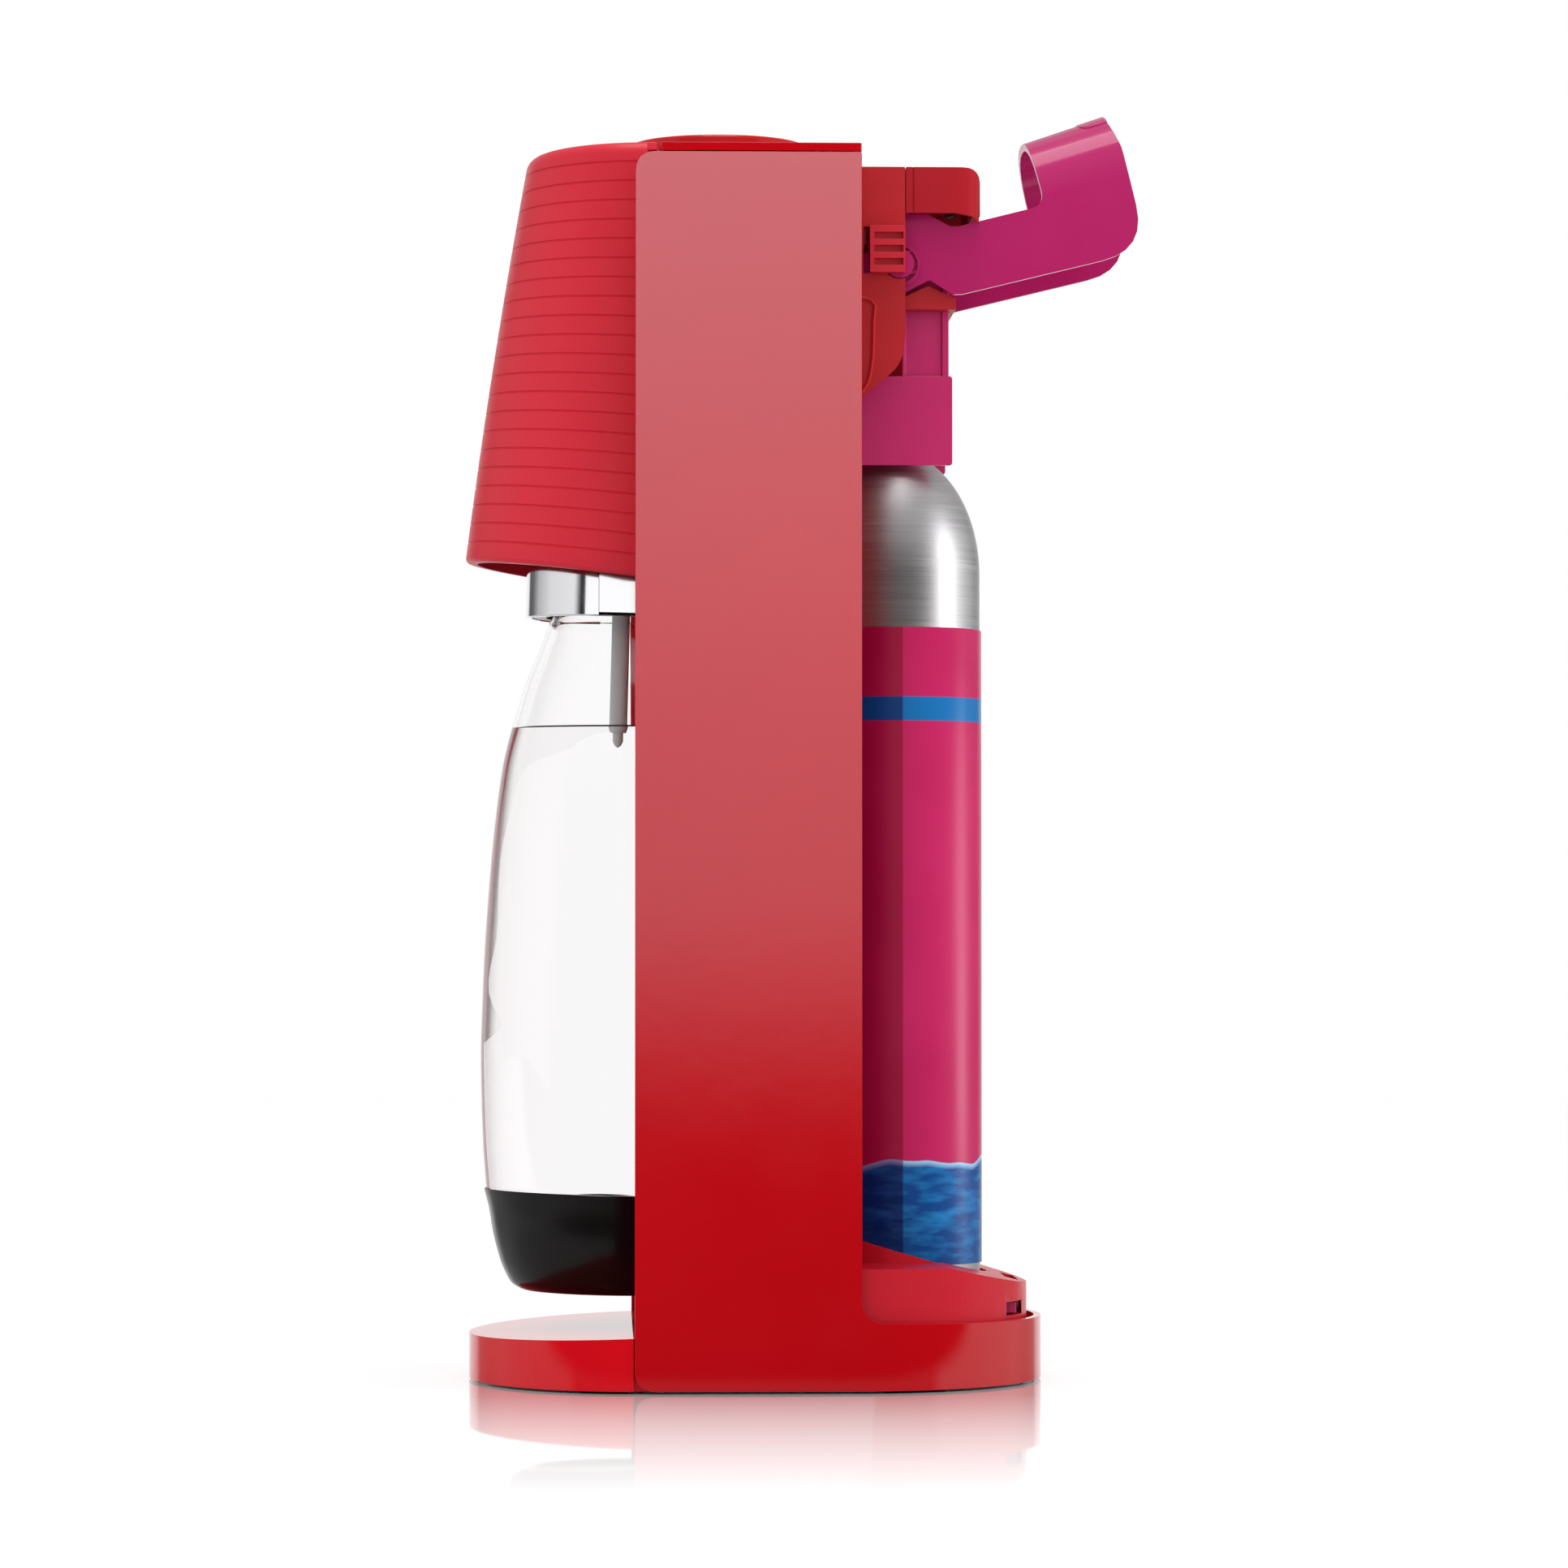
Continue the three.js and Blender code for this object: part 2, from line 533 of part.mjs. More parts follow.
function rearCap() {
  const front = CHEEK_REAR + GAP;
  const corner = 9;
  const plan = (inset) => roundedPolygon([
    [-CHEEK_OUTER + inset, front + inset / 2], [CHEEK_OUTER - inset, front + inset / 2],
    [CHEEK_OUTER - inset, CAP_REAR - inset, corner - inset],
    [-CHEEK_OUTER + inset, CAP_REAR - inset, corner - inset],
  ]);
  const lip = 3;                         // the rear corners hang this much lower than the sides
  const sideView = roundedPolygon([
    [front, CAP_BOTTOM - lip], [front, BRACKET_TOP], [CAP_REAR, BRACKET_TOP, 6], [CAP_REAR, CAP_BOTTOM - lip],
  ]);
  const shell = cut(
    extrudeZ(plan(0), CAP_BOTTOM - lip, BRACKET_TOP, 8)
      .intersect(extrudeX(sideView, -CHEEK_OUTER - 1, CHEEK_OUTER + 1, 6)),
    extrudeZ(plan(WALL), CAP_BOTTOM - lip - 1, BRACKET_TOP - WALL, 8));
  const underSides = extrudeX(polygon([
    [front - 1, CAP_BOTTOM - 9], [front - 1, CAP_BOTTOM], [CAP_REAR - 9, CAP_BOTTOM],
    [CAP_REAR - 3, CAP_BOTTOM - 1], [CAP_REAR - 0.8, CAP_BOTTOM - lip], [CAP_REAR - 0.8, CAP_BOTTOM - 9],
  ]), -CHEEK_OUTER - 1, CHEEK_OUTER + 1);
  const besideLever = LEVER_HALF_WIDTH + 2;
  const overLever = box(-besideLever, besideLever, front, CAP_REAR + 1, CAP_BOTTOM - lip - 1, CAP_BOTTOM);
  const frontOpening = box(-32, 32, front - 1, front + 3, CAP_BOTTOM - 1, 411);
  const groove = boxPair(
    CHEEK_OUTER - 0.5, CHEEK_OUTER + 1, front + 2.2, front + 2.8, CAP_BOTTOM - 1, BRACKET_TOP + 1);
  return cut(shell, underSides, overLever, frontOpening, groove);
}

part('lever_bracket', leverBracket(), looks.redDark);
part('cover_catch_right', coverCatch(1), looks.redSatin);
part('cover_catch_left', coverCatch(-1), looks.redSatin);
part('rear_cap', rearCap(), looks.redGloss);

// ---------------------------------------------------------------- button linkage and gas valve
function actuatorLever() {
  const profile = roundedPolygon([
    [BUTTON_Y - 6, 399.5, 1], [42, 399.5], [44, 398.6], [52, 398.6], [54, 399.5],
    [ACTUATOR_PIVOT_Y, ACTUATOR_PIVOT_Z - 3.6, 2], [ACTUATOR_PIVOT_Y + 4, ACTUATOR_PIVOT_Z - 1, 2],
    [ACTUATOR_PIVOT_Y + 3, 405.2, 2], [BUTTON_Y - 6, 405.2, 1],
  ]);
  return cut(
    extrudeX(profile, -5.5, 5.5, 4),
    rodX(2.3, -8, 8, ACTUATOR_PIVOT_Y, ACTUATOR_PIVOT_Z));
}

const valvePin = () => turned([
  [0, 341.8], [2, 341.8], [2, 397.4], [1.2, 398.3], [0, 398.3],
], 0, CYLINDER_Y, 16);

function valveBody() {
  const body = turned([
    [2.4, 340.2], [9, 340.2], [10, 341.2], [10, GUIDE_BOTTOM - GAP], [5.5, GUIDE_BOTTOM - GAP],
    [5.5, 384], [2.4, 384], [2.4, 340.2],
  ], 0, CYLINDER_Y, 24);
  const outlet = cut(
    rodY(3.6, CYLINDER_Y - 13, CYLINDER_Y - 8, 0, 356), rodY(1.4, CYLINDER_Y - 14, CYLINDER_Y - 9, 0, 356));
  return join(body, outlet);
}

// The hose runs from the valve's outlet, through the wall, to the holder's swivel port.
const gasHose = () => tube([
  [0, CYLINDER_Y - 13.6, 356], [0.6, 31, 356], [3, 25, 355], [10, 17, 350.5], [HOSE_HOLE.x, 9, HOSE_HOLE.z],
  [HOSE_HOLE.x, -1, HOSE_HOLE.z], [17.5, -9, 344.5], [20.5, -15.5, 337],
  [21, HOLDER_PIVOT_Y, 328.5], [19.4, HOLDER_PIVOT_Y, 323.4], [17, HOLDER_PIVOT_Y, HOLDER_PIVOT_Z],
  [14.6, HOLDER_PIVOT_Y, HOLDER_PIVOT_Z],
], 2.5, 27, 8);

part('actuator_lever', actuatorLever(), looks.grey);
part('actuator_pin', rodX(2, -10.5, 10.5, ACTUATOR_PIVOT_Y, ACTUATOR_PIVOT_Z), looks.steel);
part('valve_pin', valvePin(), looks.steel);
part('valve_body', valveBody(), looks.redDark);
part('gas_hose', gasHose(), looks.hose);

// ---------------------------------------------------------------- carrier guide and carrier
const COLUMN = { inner: 15.6, outer: 20, front: 50, rear: 66.1 };

function carrierGuide() {
  const profile = polygon([
    [8.4, GUIDE_BOTTOM], [68.1, GUIDE_BOTTOM], [68.1, 370.2], [58.6, 374.7], [49, 370.2], [8.4, 370.2],
  ]);
  return cut(
    extrudeX(profile, -GUIDE_HALF_WIDTH, GUIDE_HALF_WIDTH),
    disc(5.9, 360, 380, 0, CYLINDER_Y, 24),
    boxPair(COLUMN.inner - GAP, COLUMN.outer + GAP, COLUMN.front - GAP, COLUMN.rear + GAP, 360, 380));
}

function valveCarrier() {
  const rear = 67.3;
  const halfWidth = 21;
  const shell = extrudeX(roundedPolygon([
    [29.2, CARRIER_BOTTOM, 1.2], [rear, CARRIER_BOTTOM, 1.2],
    [rear, CARRIER_TOP, 1.2], [29.2, CARRIER_TOP, 1.2],
  ]), -halfWidth, halfWidth, 4);
  const hollow = box(-halfWidth + WALL, halfWidth - WALL, 31.7, rear + 2, 321.2, CARRIER_TOP - 3);
  const under = box(-halfWidth + WALL, halfWidth - WALL, 31.7, rear + 2, CARRIER_BOTTOM - 1, 318.4);
  const neckSlot = join(
    disc(12.3, 310, 330, 0, CYLINDER_Y, 32), box(-12.3, 12.3, CYLINDER_Y, rear + 2, 310, 330));
  const plungerHole = disc(12, 330, 350, 0, CYLINDER_Y, 32);
  const { inner, outer, front, rear: columnRear } = COLUMN;
  const columnTop = 377;
  const columns = boxPair(inner, outer, front, columnRear, CARRIER_TOP - 1, columnTop);
  const recesses = boxPair(outer - 0.8, outer + 1, front + 1.2, columnRear - 2.4, CARRIER_TOP, columnTop + 1);
  return cut(join(cut(shell, hollow, under, neckSlot, plungerHole), columns), recesses);
}

part('carrier_guide', carrierGuide(), looks.redDark);
part('valve_carrier', valveCarrier(), looks.pink);

// ---------------------------------------------------------------- quick-connect lever
// Drawn in the arm's own frame: Y along the arm from the pivot, Z across it, then tilted.
const ARCH_FOOT = 12;                    // the sides are flat below this height
const ARCH_SHAPE = 0.8;                  // exponent that squares the arch's shoulders a little

// The solid arch whose skin lies the inset inside the lever's outer surface.
function archSolid(inset) {
  const halfWidth = LEVER_HALF_WIDTH - inset;
  const steps = 14;
  const ring = (along) => {
    const crown = 33.4 + (2.6 * (along - 53)) / 30 - inset;
    const points = [];
    for (let i = 0; i <= steps; i += 1) {
      const angle = (Math.PI * i) / steps;
      const across = Math.sign(Math.cos(angle)) * Math.abs(Math.cos(angle)) ** ARCH_SHAPE;
      const rise = Math.sin(angle) ** ARCH_SHAPE;
      points.push(new THREE.Vector3(halfWidth * across, ARCH_FOOT + (crown - ARCH_FOOT) * rise, along));
    }
    points.push(new THREE.Vector3(-halfWidth, -30, along), new THREE.Vector3(halfWidth, -30, along));
    return points;
  };
  const geometry = loftGeometry([ring(-30), ring(110)]);
  geometry.applyMatrix4(new THREE.Matrix4().makeBasis(
    new THREE.Vector3(1, 0, 0), new THREE.Vector3(0, 0, 1), new THREE.Vector3(0, 1, 0)));
  return solid(geometry);
}

// Round bosses with a sunken face and three ribs, and the stubs that turn in the bracket.
function leverBosses() {
  const inner = LEVER_HALF_WIDTH - 0.1;
  const face = LEVER_HALF_WIDTH + 2.2;
  const ribs = [-3.6, 0, 3.6].map((z) => boxPair(inner, face - 0.4, -5.6, 5.6, z - 0.5, z + 0.5));
  const rims = cut(rodPair(7.5, inner, face, 0, 0), rodPair(6.4, LEVER_HALF_WIDTH + 0.6, face + 1, 0, 0));
  return join(rims, ...ribs, rodPair(5, inner, CHEEK_OUTER - 0.4, 0, 0));
}

function quickConnectLever() {
  const end = LEVER_LENGTH;
  const outline = roundedPolygon([
    [-9, -4, 4], [0, -9.4, 2], [9.1, -7.2, 1], [15.6, -13.9, 1], [19, -14.6, 2],
    [end, -14.6, 16], [end, 22], [end - 3, 40], [53.4, 40], [53.7, 8.5, 5],
    [23.3, 8.3, 2], [20.3, 9, 2], [13.7, 15, 1], [6.6, 16.5, 2], [-9, 12, 6],
  ]);
  const yoke = extrudeX(outline, -LEVER_HALF_WIDTH - 1, LEVER_HALF_WIDTH + 1, 6)
    .intersect(archSolid(0)).subtract(archSolid(WALL));
  const thumbPad = extrudeZ(roundedPolygon([
    [-20, end - 11, 5], [20, end - 11, 5], [20, end - 1.6], [-20, end - 1.6],
  ]), 20, 40, 4).intersect(archSolid(-0.35)).subtract(archSolid(WALL / 2));
  return join(yoke, thumbPad, leverBosses());
}

const lever = part('quick_connect_lever', quickConnectLever(), looks.pink);
lever.position.set(0, LEVER_PIVOT_Y, LEVER_PIVOT_Z);
lever.rotation.x = LEVER_TILT;

// ---------------------------------------------------------------- gas cylinder
function gasCylinder() {
  const profile = [[0, CYLINDER_BOTTOM + 3], [14, CYLINDER_BOTTOM + 2], [22, CYLINDER_BOTTOM],
    [26, CYLINDER_BOTTOM], [28.8, CYLINDER_BOTTOM + 1.4], [CYLINDER_RADIUS, CYLINDER_BOTTOM + 4]];
  const domeHeight = 43;                  // semi-axis of the elliptical dome, cut off by the neck
  const neck = 11.5;
  const steps = 7;
  for (let i = 0; i <= steps; i += 1) {
    const angle = (Math.acos(neck / CYLINDER_RADIUS) * i) / steps;
    profile.push([CYLINDER_RADIUS * Math.cos(angle), CYLINDER_SHOULDER + domeHeight * Math.sin(angle)]);
  }
  profile.push([neck, CYLINDER_NECK_TOP], [0, CYLINDER_NECK_TOP]);
  return turned(profile, 0, CYLINDER_Y);
}

const LABEL_INNER = CYLINDER_RADIUS + GAP;
const cylinderLabel = () => turned([
  [LABEL_INNER, 40], [LABEL_INNER + 0.4, 40], [LABEL_INNER + 0.4, LABEL_TOP],
  [LABEL_INNER, LABEL_TOP], [LABEL_INNER, 40],
], 0, CYLINDER_Y);

// Neck, gripping flange and seat; the flange hangs over the carrier's fork.
const cylinderValve = () => turned([
  [0, CYLINDER_NECK_TOP + GAP], [10.5, CYLINDER_NECK_TOP + GAP], [10.5, 324.8], [15, 324.8],
  [15, 328.8], [10, 329.6], [10, 336], [8.5, 337.2], [4, 337.2], [4, 334.5], [0, 334.5],
], 0, CYLINDER_Y, 20);

part('gas_cylinder', gasCylinder(), looks.aluminium);
part('cylinder_label', cylinderLabel(), looks.label);
part('cylinder_valve', cylinderValve(), looks.pink);

// ---------------------------------------------------------------- rear tray and cover latch
const TRAY_HALF_WIDTH = 70;
const TRAY_REAR = 60;

function belowSlope(y0, z0, slope) {
  const height = (y) => z0 + slope * (y - y0);
  return extrudeX(polygon([
    [-10, 0], [120, 0], [120, height(120)], [-10, height(-10)]]), -90, 90);
}

function cylinderTray() {
  const floor = BASE_TOP + GAP;
  const recess = LABEL_INNER + 2;
  const wallTop = 41;
  const body = extrudeZ(rearPlan(TRAY_HALF_WIDTH, 3.3, TRAY_REAR), floor, wallTop, 16)
    .intersect(belowSlope(63, wallTop, -0.25));
  const collar = disc(recess + WALL, floor, 60, 0, CYLINDER_Y, 32)
    .intersect(belowSlope(35.7, 48.5, -0.296));
  const hollow = extrudeZ(
    rearPlan(TRAY_HALF_WIDTH - WALL, 3.3 + WALL, TRAY_REAR - WALL), floor - 1, wallTop - WALL, 16)
    .intersect(belowSlope(63, wallTop - WALL - 0.2, -0.25));
  const keep = disc(recess + WALL, CYLINDER_BOTTOM - GAP - WALL, 60, 0, CYLINDER_Y, 32);
  const windows = boxPair(12, 70, 84.4, 90.6, 23.3, 28);
  const coverSlot = box(-13.5, 13.5, 85.6, 90.2, 29, 45);
  return cut(join(body, collar), hollow.subtract(keep),
    disc(recess, CYLINDER_BOTTOM - GAP, 70, 0, CYLINDER_Y, 32), windows, coverSlot);
}

const coverLatch = () => join(
  box(-26.5, 26.5, 84.7, 88.5, 23.7, 27.4), box(-10, 10, 85.3, 87.5, 27.2, 31),
  box(-12, 12, 84.7, 88.5, BASE_TOP + 2 * GAP, 23.8));

part('cylinder_tray', cylinderTray(), looks.redGloss);
part('cover_latch', coverLatch(), looks.pink);

// ---------------------------------------------------------------- tilting bottle holder and bottle
// Drawn upright with the bottle axis as Z and the collar's lower edge at 0, then tilted.
const holder = new THREE.Group();
holder.position.set(0, HOLDER_Y, HOLDER_Z);
holder.rotation.x = -HOLDER_TILT;
model.add(holder);

// A point of the machine's side view in the holder's own frame.
function inHolder(y, z) {
  const point = new THREE.Vector2(y - HOLDER_Y, z - HOLDER_Z);
  return point.rotateAround(new THREE.Vector2(0, 0), HOLDER_TILT);
}
const pivot = inHolder(HOLDER_PIVOT_Y, HOLDER_PIVOT_Z);
const COLLAR_TOP = 34;
const SEAM_Y = -8;                       // where the front collar meets the rear one

function collarPlan(radius, straight) {
  const shape = new THREE.Shape();
  shape.moveTo(radius, straight);
  shape.lineTo(radius, 0);
  shape.absarc(0, 0, radius, 0, -Math.PI, true);
  shape.lineTo(-radius, straight);
  shape.closePath();
  return shape;
}

function collarFront() {
  const ring = turned([
    [COLLAR_RADIUS - 2, 0], [COLLAR_RADIUS - 0.6, 0], [COLLAR_RADIUS, 0.6],
    [COLLAR_RADIUS, COLLAR_TOP - 1], [COLLAR_RADIUS - 1, COLLAR_TOP], [COLLAR_RADIUS - 2, COLLAR_TOP],
    [COLLAR_RADIUS - 2, 0]], 0, 0, 40);
  return ring.intersect(box(-40, 40, -40, SEAM_Y - 0.4, -5, 60));
}

function collarRear() {
  const shell = cut(
    extrudeZ(collarPlan(COLLAR_RADIUS - 0.4, 29.6), 1.2, COLLAR_TOP, 24),
    extrudeZ(collarPlan(COLLAR_RADIUS - 2.2, 27.8), 0, COLLAR_TOP + 1, 24));
  return shell.intersect(box(-40, 40, SEAM_Y, 40, 0, 60));
}

const LINER_INNER = 26.2;
function collarLiner() {
  const outer = extrudeZ(collarPlan(COLLAR_RADIUS - 2.6, 27.4), 0.3, 24, 16);
  return cut(outer, disc(LINER_INNER, -5, 30));
}

// The head sits over the bottle's mouth; three arms carry it up to the hinge, and the middle
// one holds the gas port on the hinge's own axis.
function carbonationHead() {
  const crown = extrudeZ(collarPlan(COLLAR_RADIUS - 3.4, 18.6), 24.4, 33, 14);
  const dome = turned([[0, 32], [24, 32], [22, 44], [16, 50], [0, 50]]);
  const armProfile = roundedPolygon([
    [6, 34.6], [pivot.x, 34.6, 3], [pivot.x + 7, pivot.y - 5, 6], [pivot.x + 6, pivot.y + 6, 5],
    [pivot.x - 6, pivot.y + 6, 5], [pivot.x - 9, 50, 6], [6, 44],
  ]);
  const arms = join(
    extrudeX(armProfile, 25, 27.6, 3), extrudeX(armProfile, -27.6, -25, 3),
    extrudeX(armProfile, -5, 5, 3));
  const bridge = box(-27.6, 27.6, 6, 16, 34.6, 43);
  const core = box(-20, 20, 0, 16, 32, 43);
  const port = rodX(3.2, -5, 14, pivot.x, pivot.y);
  const bore = rodX(1.3, 2, 15, pivot.x, pivot.y, 10);
  const throat = disc(3.6, 20, 40, 0, 0, 20);
  const reliefSeat = disc(5.4, 44, 55, 0, -9, 20);
  const pinHoles = rodPair(3.4, 20, 40, pivot.x, pivot.y);
  return cut(join(crown, dome, arms, bridge, core, port), bore, throat, reliefSeat, pinHoles);
}

const mouthSeal = () => turned([
  [15, BOTTLE_MOUTH + GAP], [23, BOTTLE_MOUTH + GAP], [23, 24.1], [15, 24.1],
  [15, BOTTLE_MOUTH + GAP]], 0, 0, 20);

const NOZZLE_END = -40.5;
const nozzle = () => cut(
  turned([[0, NOZZLE_END], [2.3, NOZZLE_END], [3.1, NOZZLE_END + 3], [3.1, 38], [0, 38]], 0, 0, 20),
  disc(1.9, NOZZLE_END - 1, NOZZLE_END + 5, 0, 0, 12));

const nozzleTip = () => turned([
  [0, NOZZLE_END - 5], [0.9, NOZZLE_END - 4.4], [1.5, NOZZLE_END - 2.8],
  [1.5, NOZZLE_END + 3.5], [0, NOZZLE_END + 3.5]], 0, 0, 16);

const reliefValve = () => turned([
  [0, 44.3], [5, 44.3], [5, 52], [6.2, 52.6], [6.2, 56], [4, 57.5], [0, 57.5]], 0, -9, 20);

part('collar_front', collarFront(), looks.chrome, holder);
part('collar_rear', collarRear(), looks.chrome, holder);
part('collar_liner', collarLiner(), looks.black, holder);
part('carbonation_head', carbonationHead(), looks.black, holder);
part('mouth_seal', mouthSeal(), looks.rubber, holder);
part('nozzle', nozzle(), looks.grey, holder);
part('nozzle_tip', nozzleTip(), looks.clear, holder);
part('relief_valve', reliefValve(), looks.brass, holder);
part('holder_pin_right', rodX(3, 24.6, 33, HOLDER_PIVOT_Y, HOLDER_PIVOT_Z), looks.steel);
part('holder_pin_left', rodX(3, -33, -24.6, HOLDER_PIVOT_Y, HOLDER_PIVOT_Z), looks.steel);

// Outer radius of the bottle at a height below the collar's lower edge.
const bottleCurve = new THREE.SplineCurve([
  [24.6, -1], [31.8, -21], [37.7, -43], [41.4, -77], [43.3, -125], [BOTTLE_RADIUS, -145],
  [42.7, -170], [40.3, CUP_TOP],
].map(([radius, height]) => new THREE.Vector2(radius, height)));
const BOTTLE_FLOOR = -228;
const CUP_SEAT = [[39.6, CUP_TOP - 1.5], [35.9, -212], [32.5, -221.4], [27, -226.4]];

function bottle() {
  const wall = 1.8;
  const side = bottleCurve.getPoints(8).map(({ x, y }) => [x, y]).reverse();
  const neck = [[22.9, 2], [22.6, 5.8], [24.4, 6.6], [24.4, 9.2], [22.6, 10], [22.6, BOTTLE_MOUTH]];
  const inside = [[20.4, BOTTLE_MOUTH], [20.4, 2]];
  const lowered = [...CUP_SEAT].reverse();
  const inner = [...side].reverse().map(([radius, height]) => [radius - wall, height]);
  const innerFoot = CUP_SEAT.map(([radius, height]) => [radius - wall, height + 0.6 * wall]);
  return turned([
    [0, BOTTLE_FLOOR], [22, BOTTLE_FLOOR], ...lowered, ...side, ...neck, ...inside, ...inner,
    ...innerFoot, [21, BOTTLE_FLOOR + wall], [0, BOTTLE_FLOOR + wall],
  ]);
}

function bottleCup() {
  const lift = 0.35;
  const inside = CUP_SEAT.map(([radius, height]) => [radius + lift, height]);
  return turned([
    [0, BOTTLE_BOTTOM + 1.2], [23, BOTTLE_BOTTOM + 1.2], [25, BOTTLE_BOTTOM], [27.6, -230.8],
    [32.4, -226], [34.6, -221.4], [37.3, -212.4], [39.2, -203.4], [40.8, CUP_TOP],
    [40.6, CUP_TOP], ...inside, [22.3, BOTTLE_FLOOR - lift], [0, BOTTLE_FLOOR - lift],
  ]);
}

part('bottle', bottle(), looks.clear, holder);
part('bottle_cup', bottleCup(), looks.black, holder);

// The origin is under the middle of the whole machine's box, on the surface it stands on.
model.updateMatrixWorld(true);
const extent = new THREE.Box3().setFromObject(model, true);
model.position.y = -(extent.min.y + extent.max.y) / 2;

export default model;
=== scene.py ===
# Looks for the soda carbonator: ribbed red shroud, glossy side panels, clear bottle with water,
# chrome collar, brushed gas cylinder with its printed label, and pink lever.
import json
from math import acos, cos, pi, radians, sin

import bmesh
import bpy
from mathutils import Matrix, Vector
from mathutils.geometry import interpolate_bezier


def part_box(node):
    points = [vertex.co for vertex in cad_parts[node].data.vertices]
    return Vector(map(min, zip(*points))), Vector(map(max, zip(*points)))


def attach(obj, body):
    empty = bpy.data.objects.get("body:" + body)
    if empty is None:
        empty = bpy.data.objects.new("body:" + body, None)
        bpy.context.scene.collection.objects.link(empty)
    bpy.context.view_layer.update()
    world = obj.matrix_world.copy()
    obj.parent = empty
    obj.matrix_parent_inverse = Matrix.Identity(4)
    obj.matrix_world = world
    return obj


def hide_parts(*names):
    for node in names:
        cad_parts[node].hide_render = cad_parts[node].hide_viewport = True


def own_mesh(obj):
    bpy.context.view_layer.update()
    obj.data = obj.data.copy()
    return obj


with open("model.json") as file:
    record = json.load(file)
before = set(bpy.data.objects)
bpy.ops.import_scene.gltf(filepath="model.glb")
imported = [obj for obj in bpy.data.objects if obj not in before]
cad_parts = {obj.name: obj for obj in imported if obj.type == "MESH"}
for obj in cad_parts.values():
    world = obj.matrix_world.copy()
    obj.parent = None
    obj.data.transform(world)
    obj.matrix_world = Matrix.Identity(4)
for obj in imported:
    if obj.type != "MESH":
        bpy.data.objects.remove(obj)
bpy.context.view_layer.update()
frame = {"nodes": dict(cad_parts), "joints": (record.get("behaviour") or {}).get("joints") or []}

JOINTS = {joint["name"]: joint for joint in frame["joints"]}
MM = 0.001


def middle(node):
    low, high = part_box(node)
    return (low + high) / 2


# ------------------------------------------------------------------ sizes taken from the frame
BODY_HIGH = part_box("side_panel_right")[1]
SHROUD_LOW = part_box("front_shroud")[0]
SHIFT_Y = SHROUD_LOW.y + 100 * MM       # the shroud's foremost point is drawn at Y = -100 mm
COVER_LOW, COVER_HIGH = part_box("top_cover")
BUTTON = middle("carbonation_button")
LABEL_LOW, LABEL_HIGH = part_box("cylinder_label")
CYLINDER_LOW, CYLINDER_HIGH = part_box("gas_cylinder")
CYLINDER = middle("gas_cylinder")
MOUTH = middle("mouth_seal")                       # on the bottle's axis, inside the head
BOTTLE_UP = -Vector(JOINTS["bottle_slide"]["axis"]).normalized()


# ------------------------------------------------------------------ shader building blocks
class Shader:
    """A material with one Principled node, and short ways to add the nodes behind its sockets."""

    def __init__(self, name, colour, roughness, metallic=0.0, **sockets):
        self.material = bpy.data.materials.new(name)
        self.material.use_nodes = True
        self.tree = self.material.node_tree
        self.surface = self.tree.nodes["Principled BSDF"]
        self.set("Base Color", (*colour, 1.0))
        self.set("Roughness", roughness)
        self.set("Metallic", metallic)
        for socket, value in sockets.items():
            self.set(socket.replace("_", " "), value)
        self.colour = colour

    def set(self, socket, value):
        self.surface.inputs[socket].default_value = value

    def node(self, kind, **settings):
        made = self.tree.nodes.new(kind)
        for key, value in settings.items():
            if key in made.inputs:
                made.inputs[key].default_value = value
            else:
                setattr(made, key, value)
        return made

    def link(self, source, target):
        self.tree.links.new(source, target)
        return target.node

    def place(self, scale=(1, 1, 1)):
        """Object coordinates, stretched: metres in the row frame."""
        coords = self.node("ShaderNodeTexCoord")
        mapping = self.node("ShaderNodeMapping", Scale=scale)
        self.link(coords.outputs["Object"], mapping.inputs["Vector"])
        return mapping.outputs["Vector"]

    def noise(self, scale, detail=3.0, stretch=(1, 1, 1)):
        noise = self.node("ShaderNodeTexNoise", Scale=scale, Detail=detail)
        self.link(self.place(stretch), noise.inputs["Vector"])
        return noise.outputs["Fac"]

    def spread(self, value, low, high, from_low=0.3, from_high=0.7):
        """Maps a noise value to the range low..high."""
        ranged = self.node("ShaderNodeMapRange", **{
            "From Min": from_low, "From Max": from_high, "To Min": low, "To Max": high})
        self.link(value, ranged.inputs["Value"])
        return ranged.outputs["Result"]

    def mix(self, factor, first, second):
        """A colour between first and second: each a colour or another node's output."""
        mixed = self.node("ShaderNodeMix", data_type="RGBA")
        for socket, value in ((mixed.inputs[6], first), (mixed.inputs[7], second)):
            if isinstance(value, bpy.types.NodeSocket):
                self.link(value, socket)
            else:
                socket.default_value = (*value, 1.0)
        self.link(factor, mixed.inputs[0])
        return mixed.outputs[2]

    def vary_colour(self, scale, amount):
        """Slow, faint changes of shade, as moulded plastic has."""
        dark = tuple(c * (1 - amount) for c in self.colour)
        light = tuple(min(1.0, c * (1 + amount)) for c in self.colour)
        factor = self.spread(self.noise(scale, 2.0), 0.0, 1.0)
        self.link(self.mix(factor, dark, light), self.surface.inputs["Base Color"])
        return self

    def vary_roughness(self, scale, low, high, stretch=(1, 1, 1)):
        self.link(self.spread(self.noise(scale, 4.0, stretch), low, high),
                  self.surface.inputs["Roughness"])
        return self

    def bump(self, scale, strength, distance, stretch=(1, 1, 1), detail=2.0):
        bump = self.node("ShaderNodeBump", Strength=strength, Distance=distance)
        self.link(self.noise(scale, detail, stretch), bump.inputs["Height"])
        self.link(bump.outputs["Normal"], self.surface.inputs["Normal"])
        return self


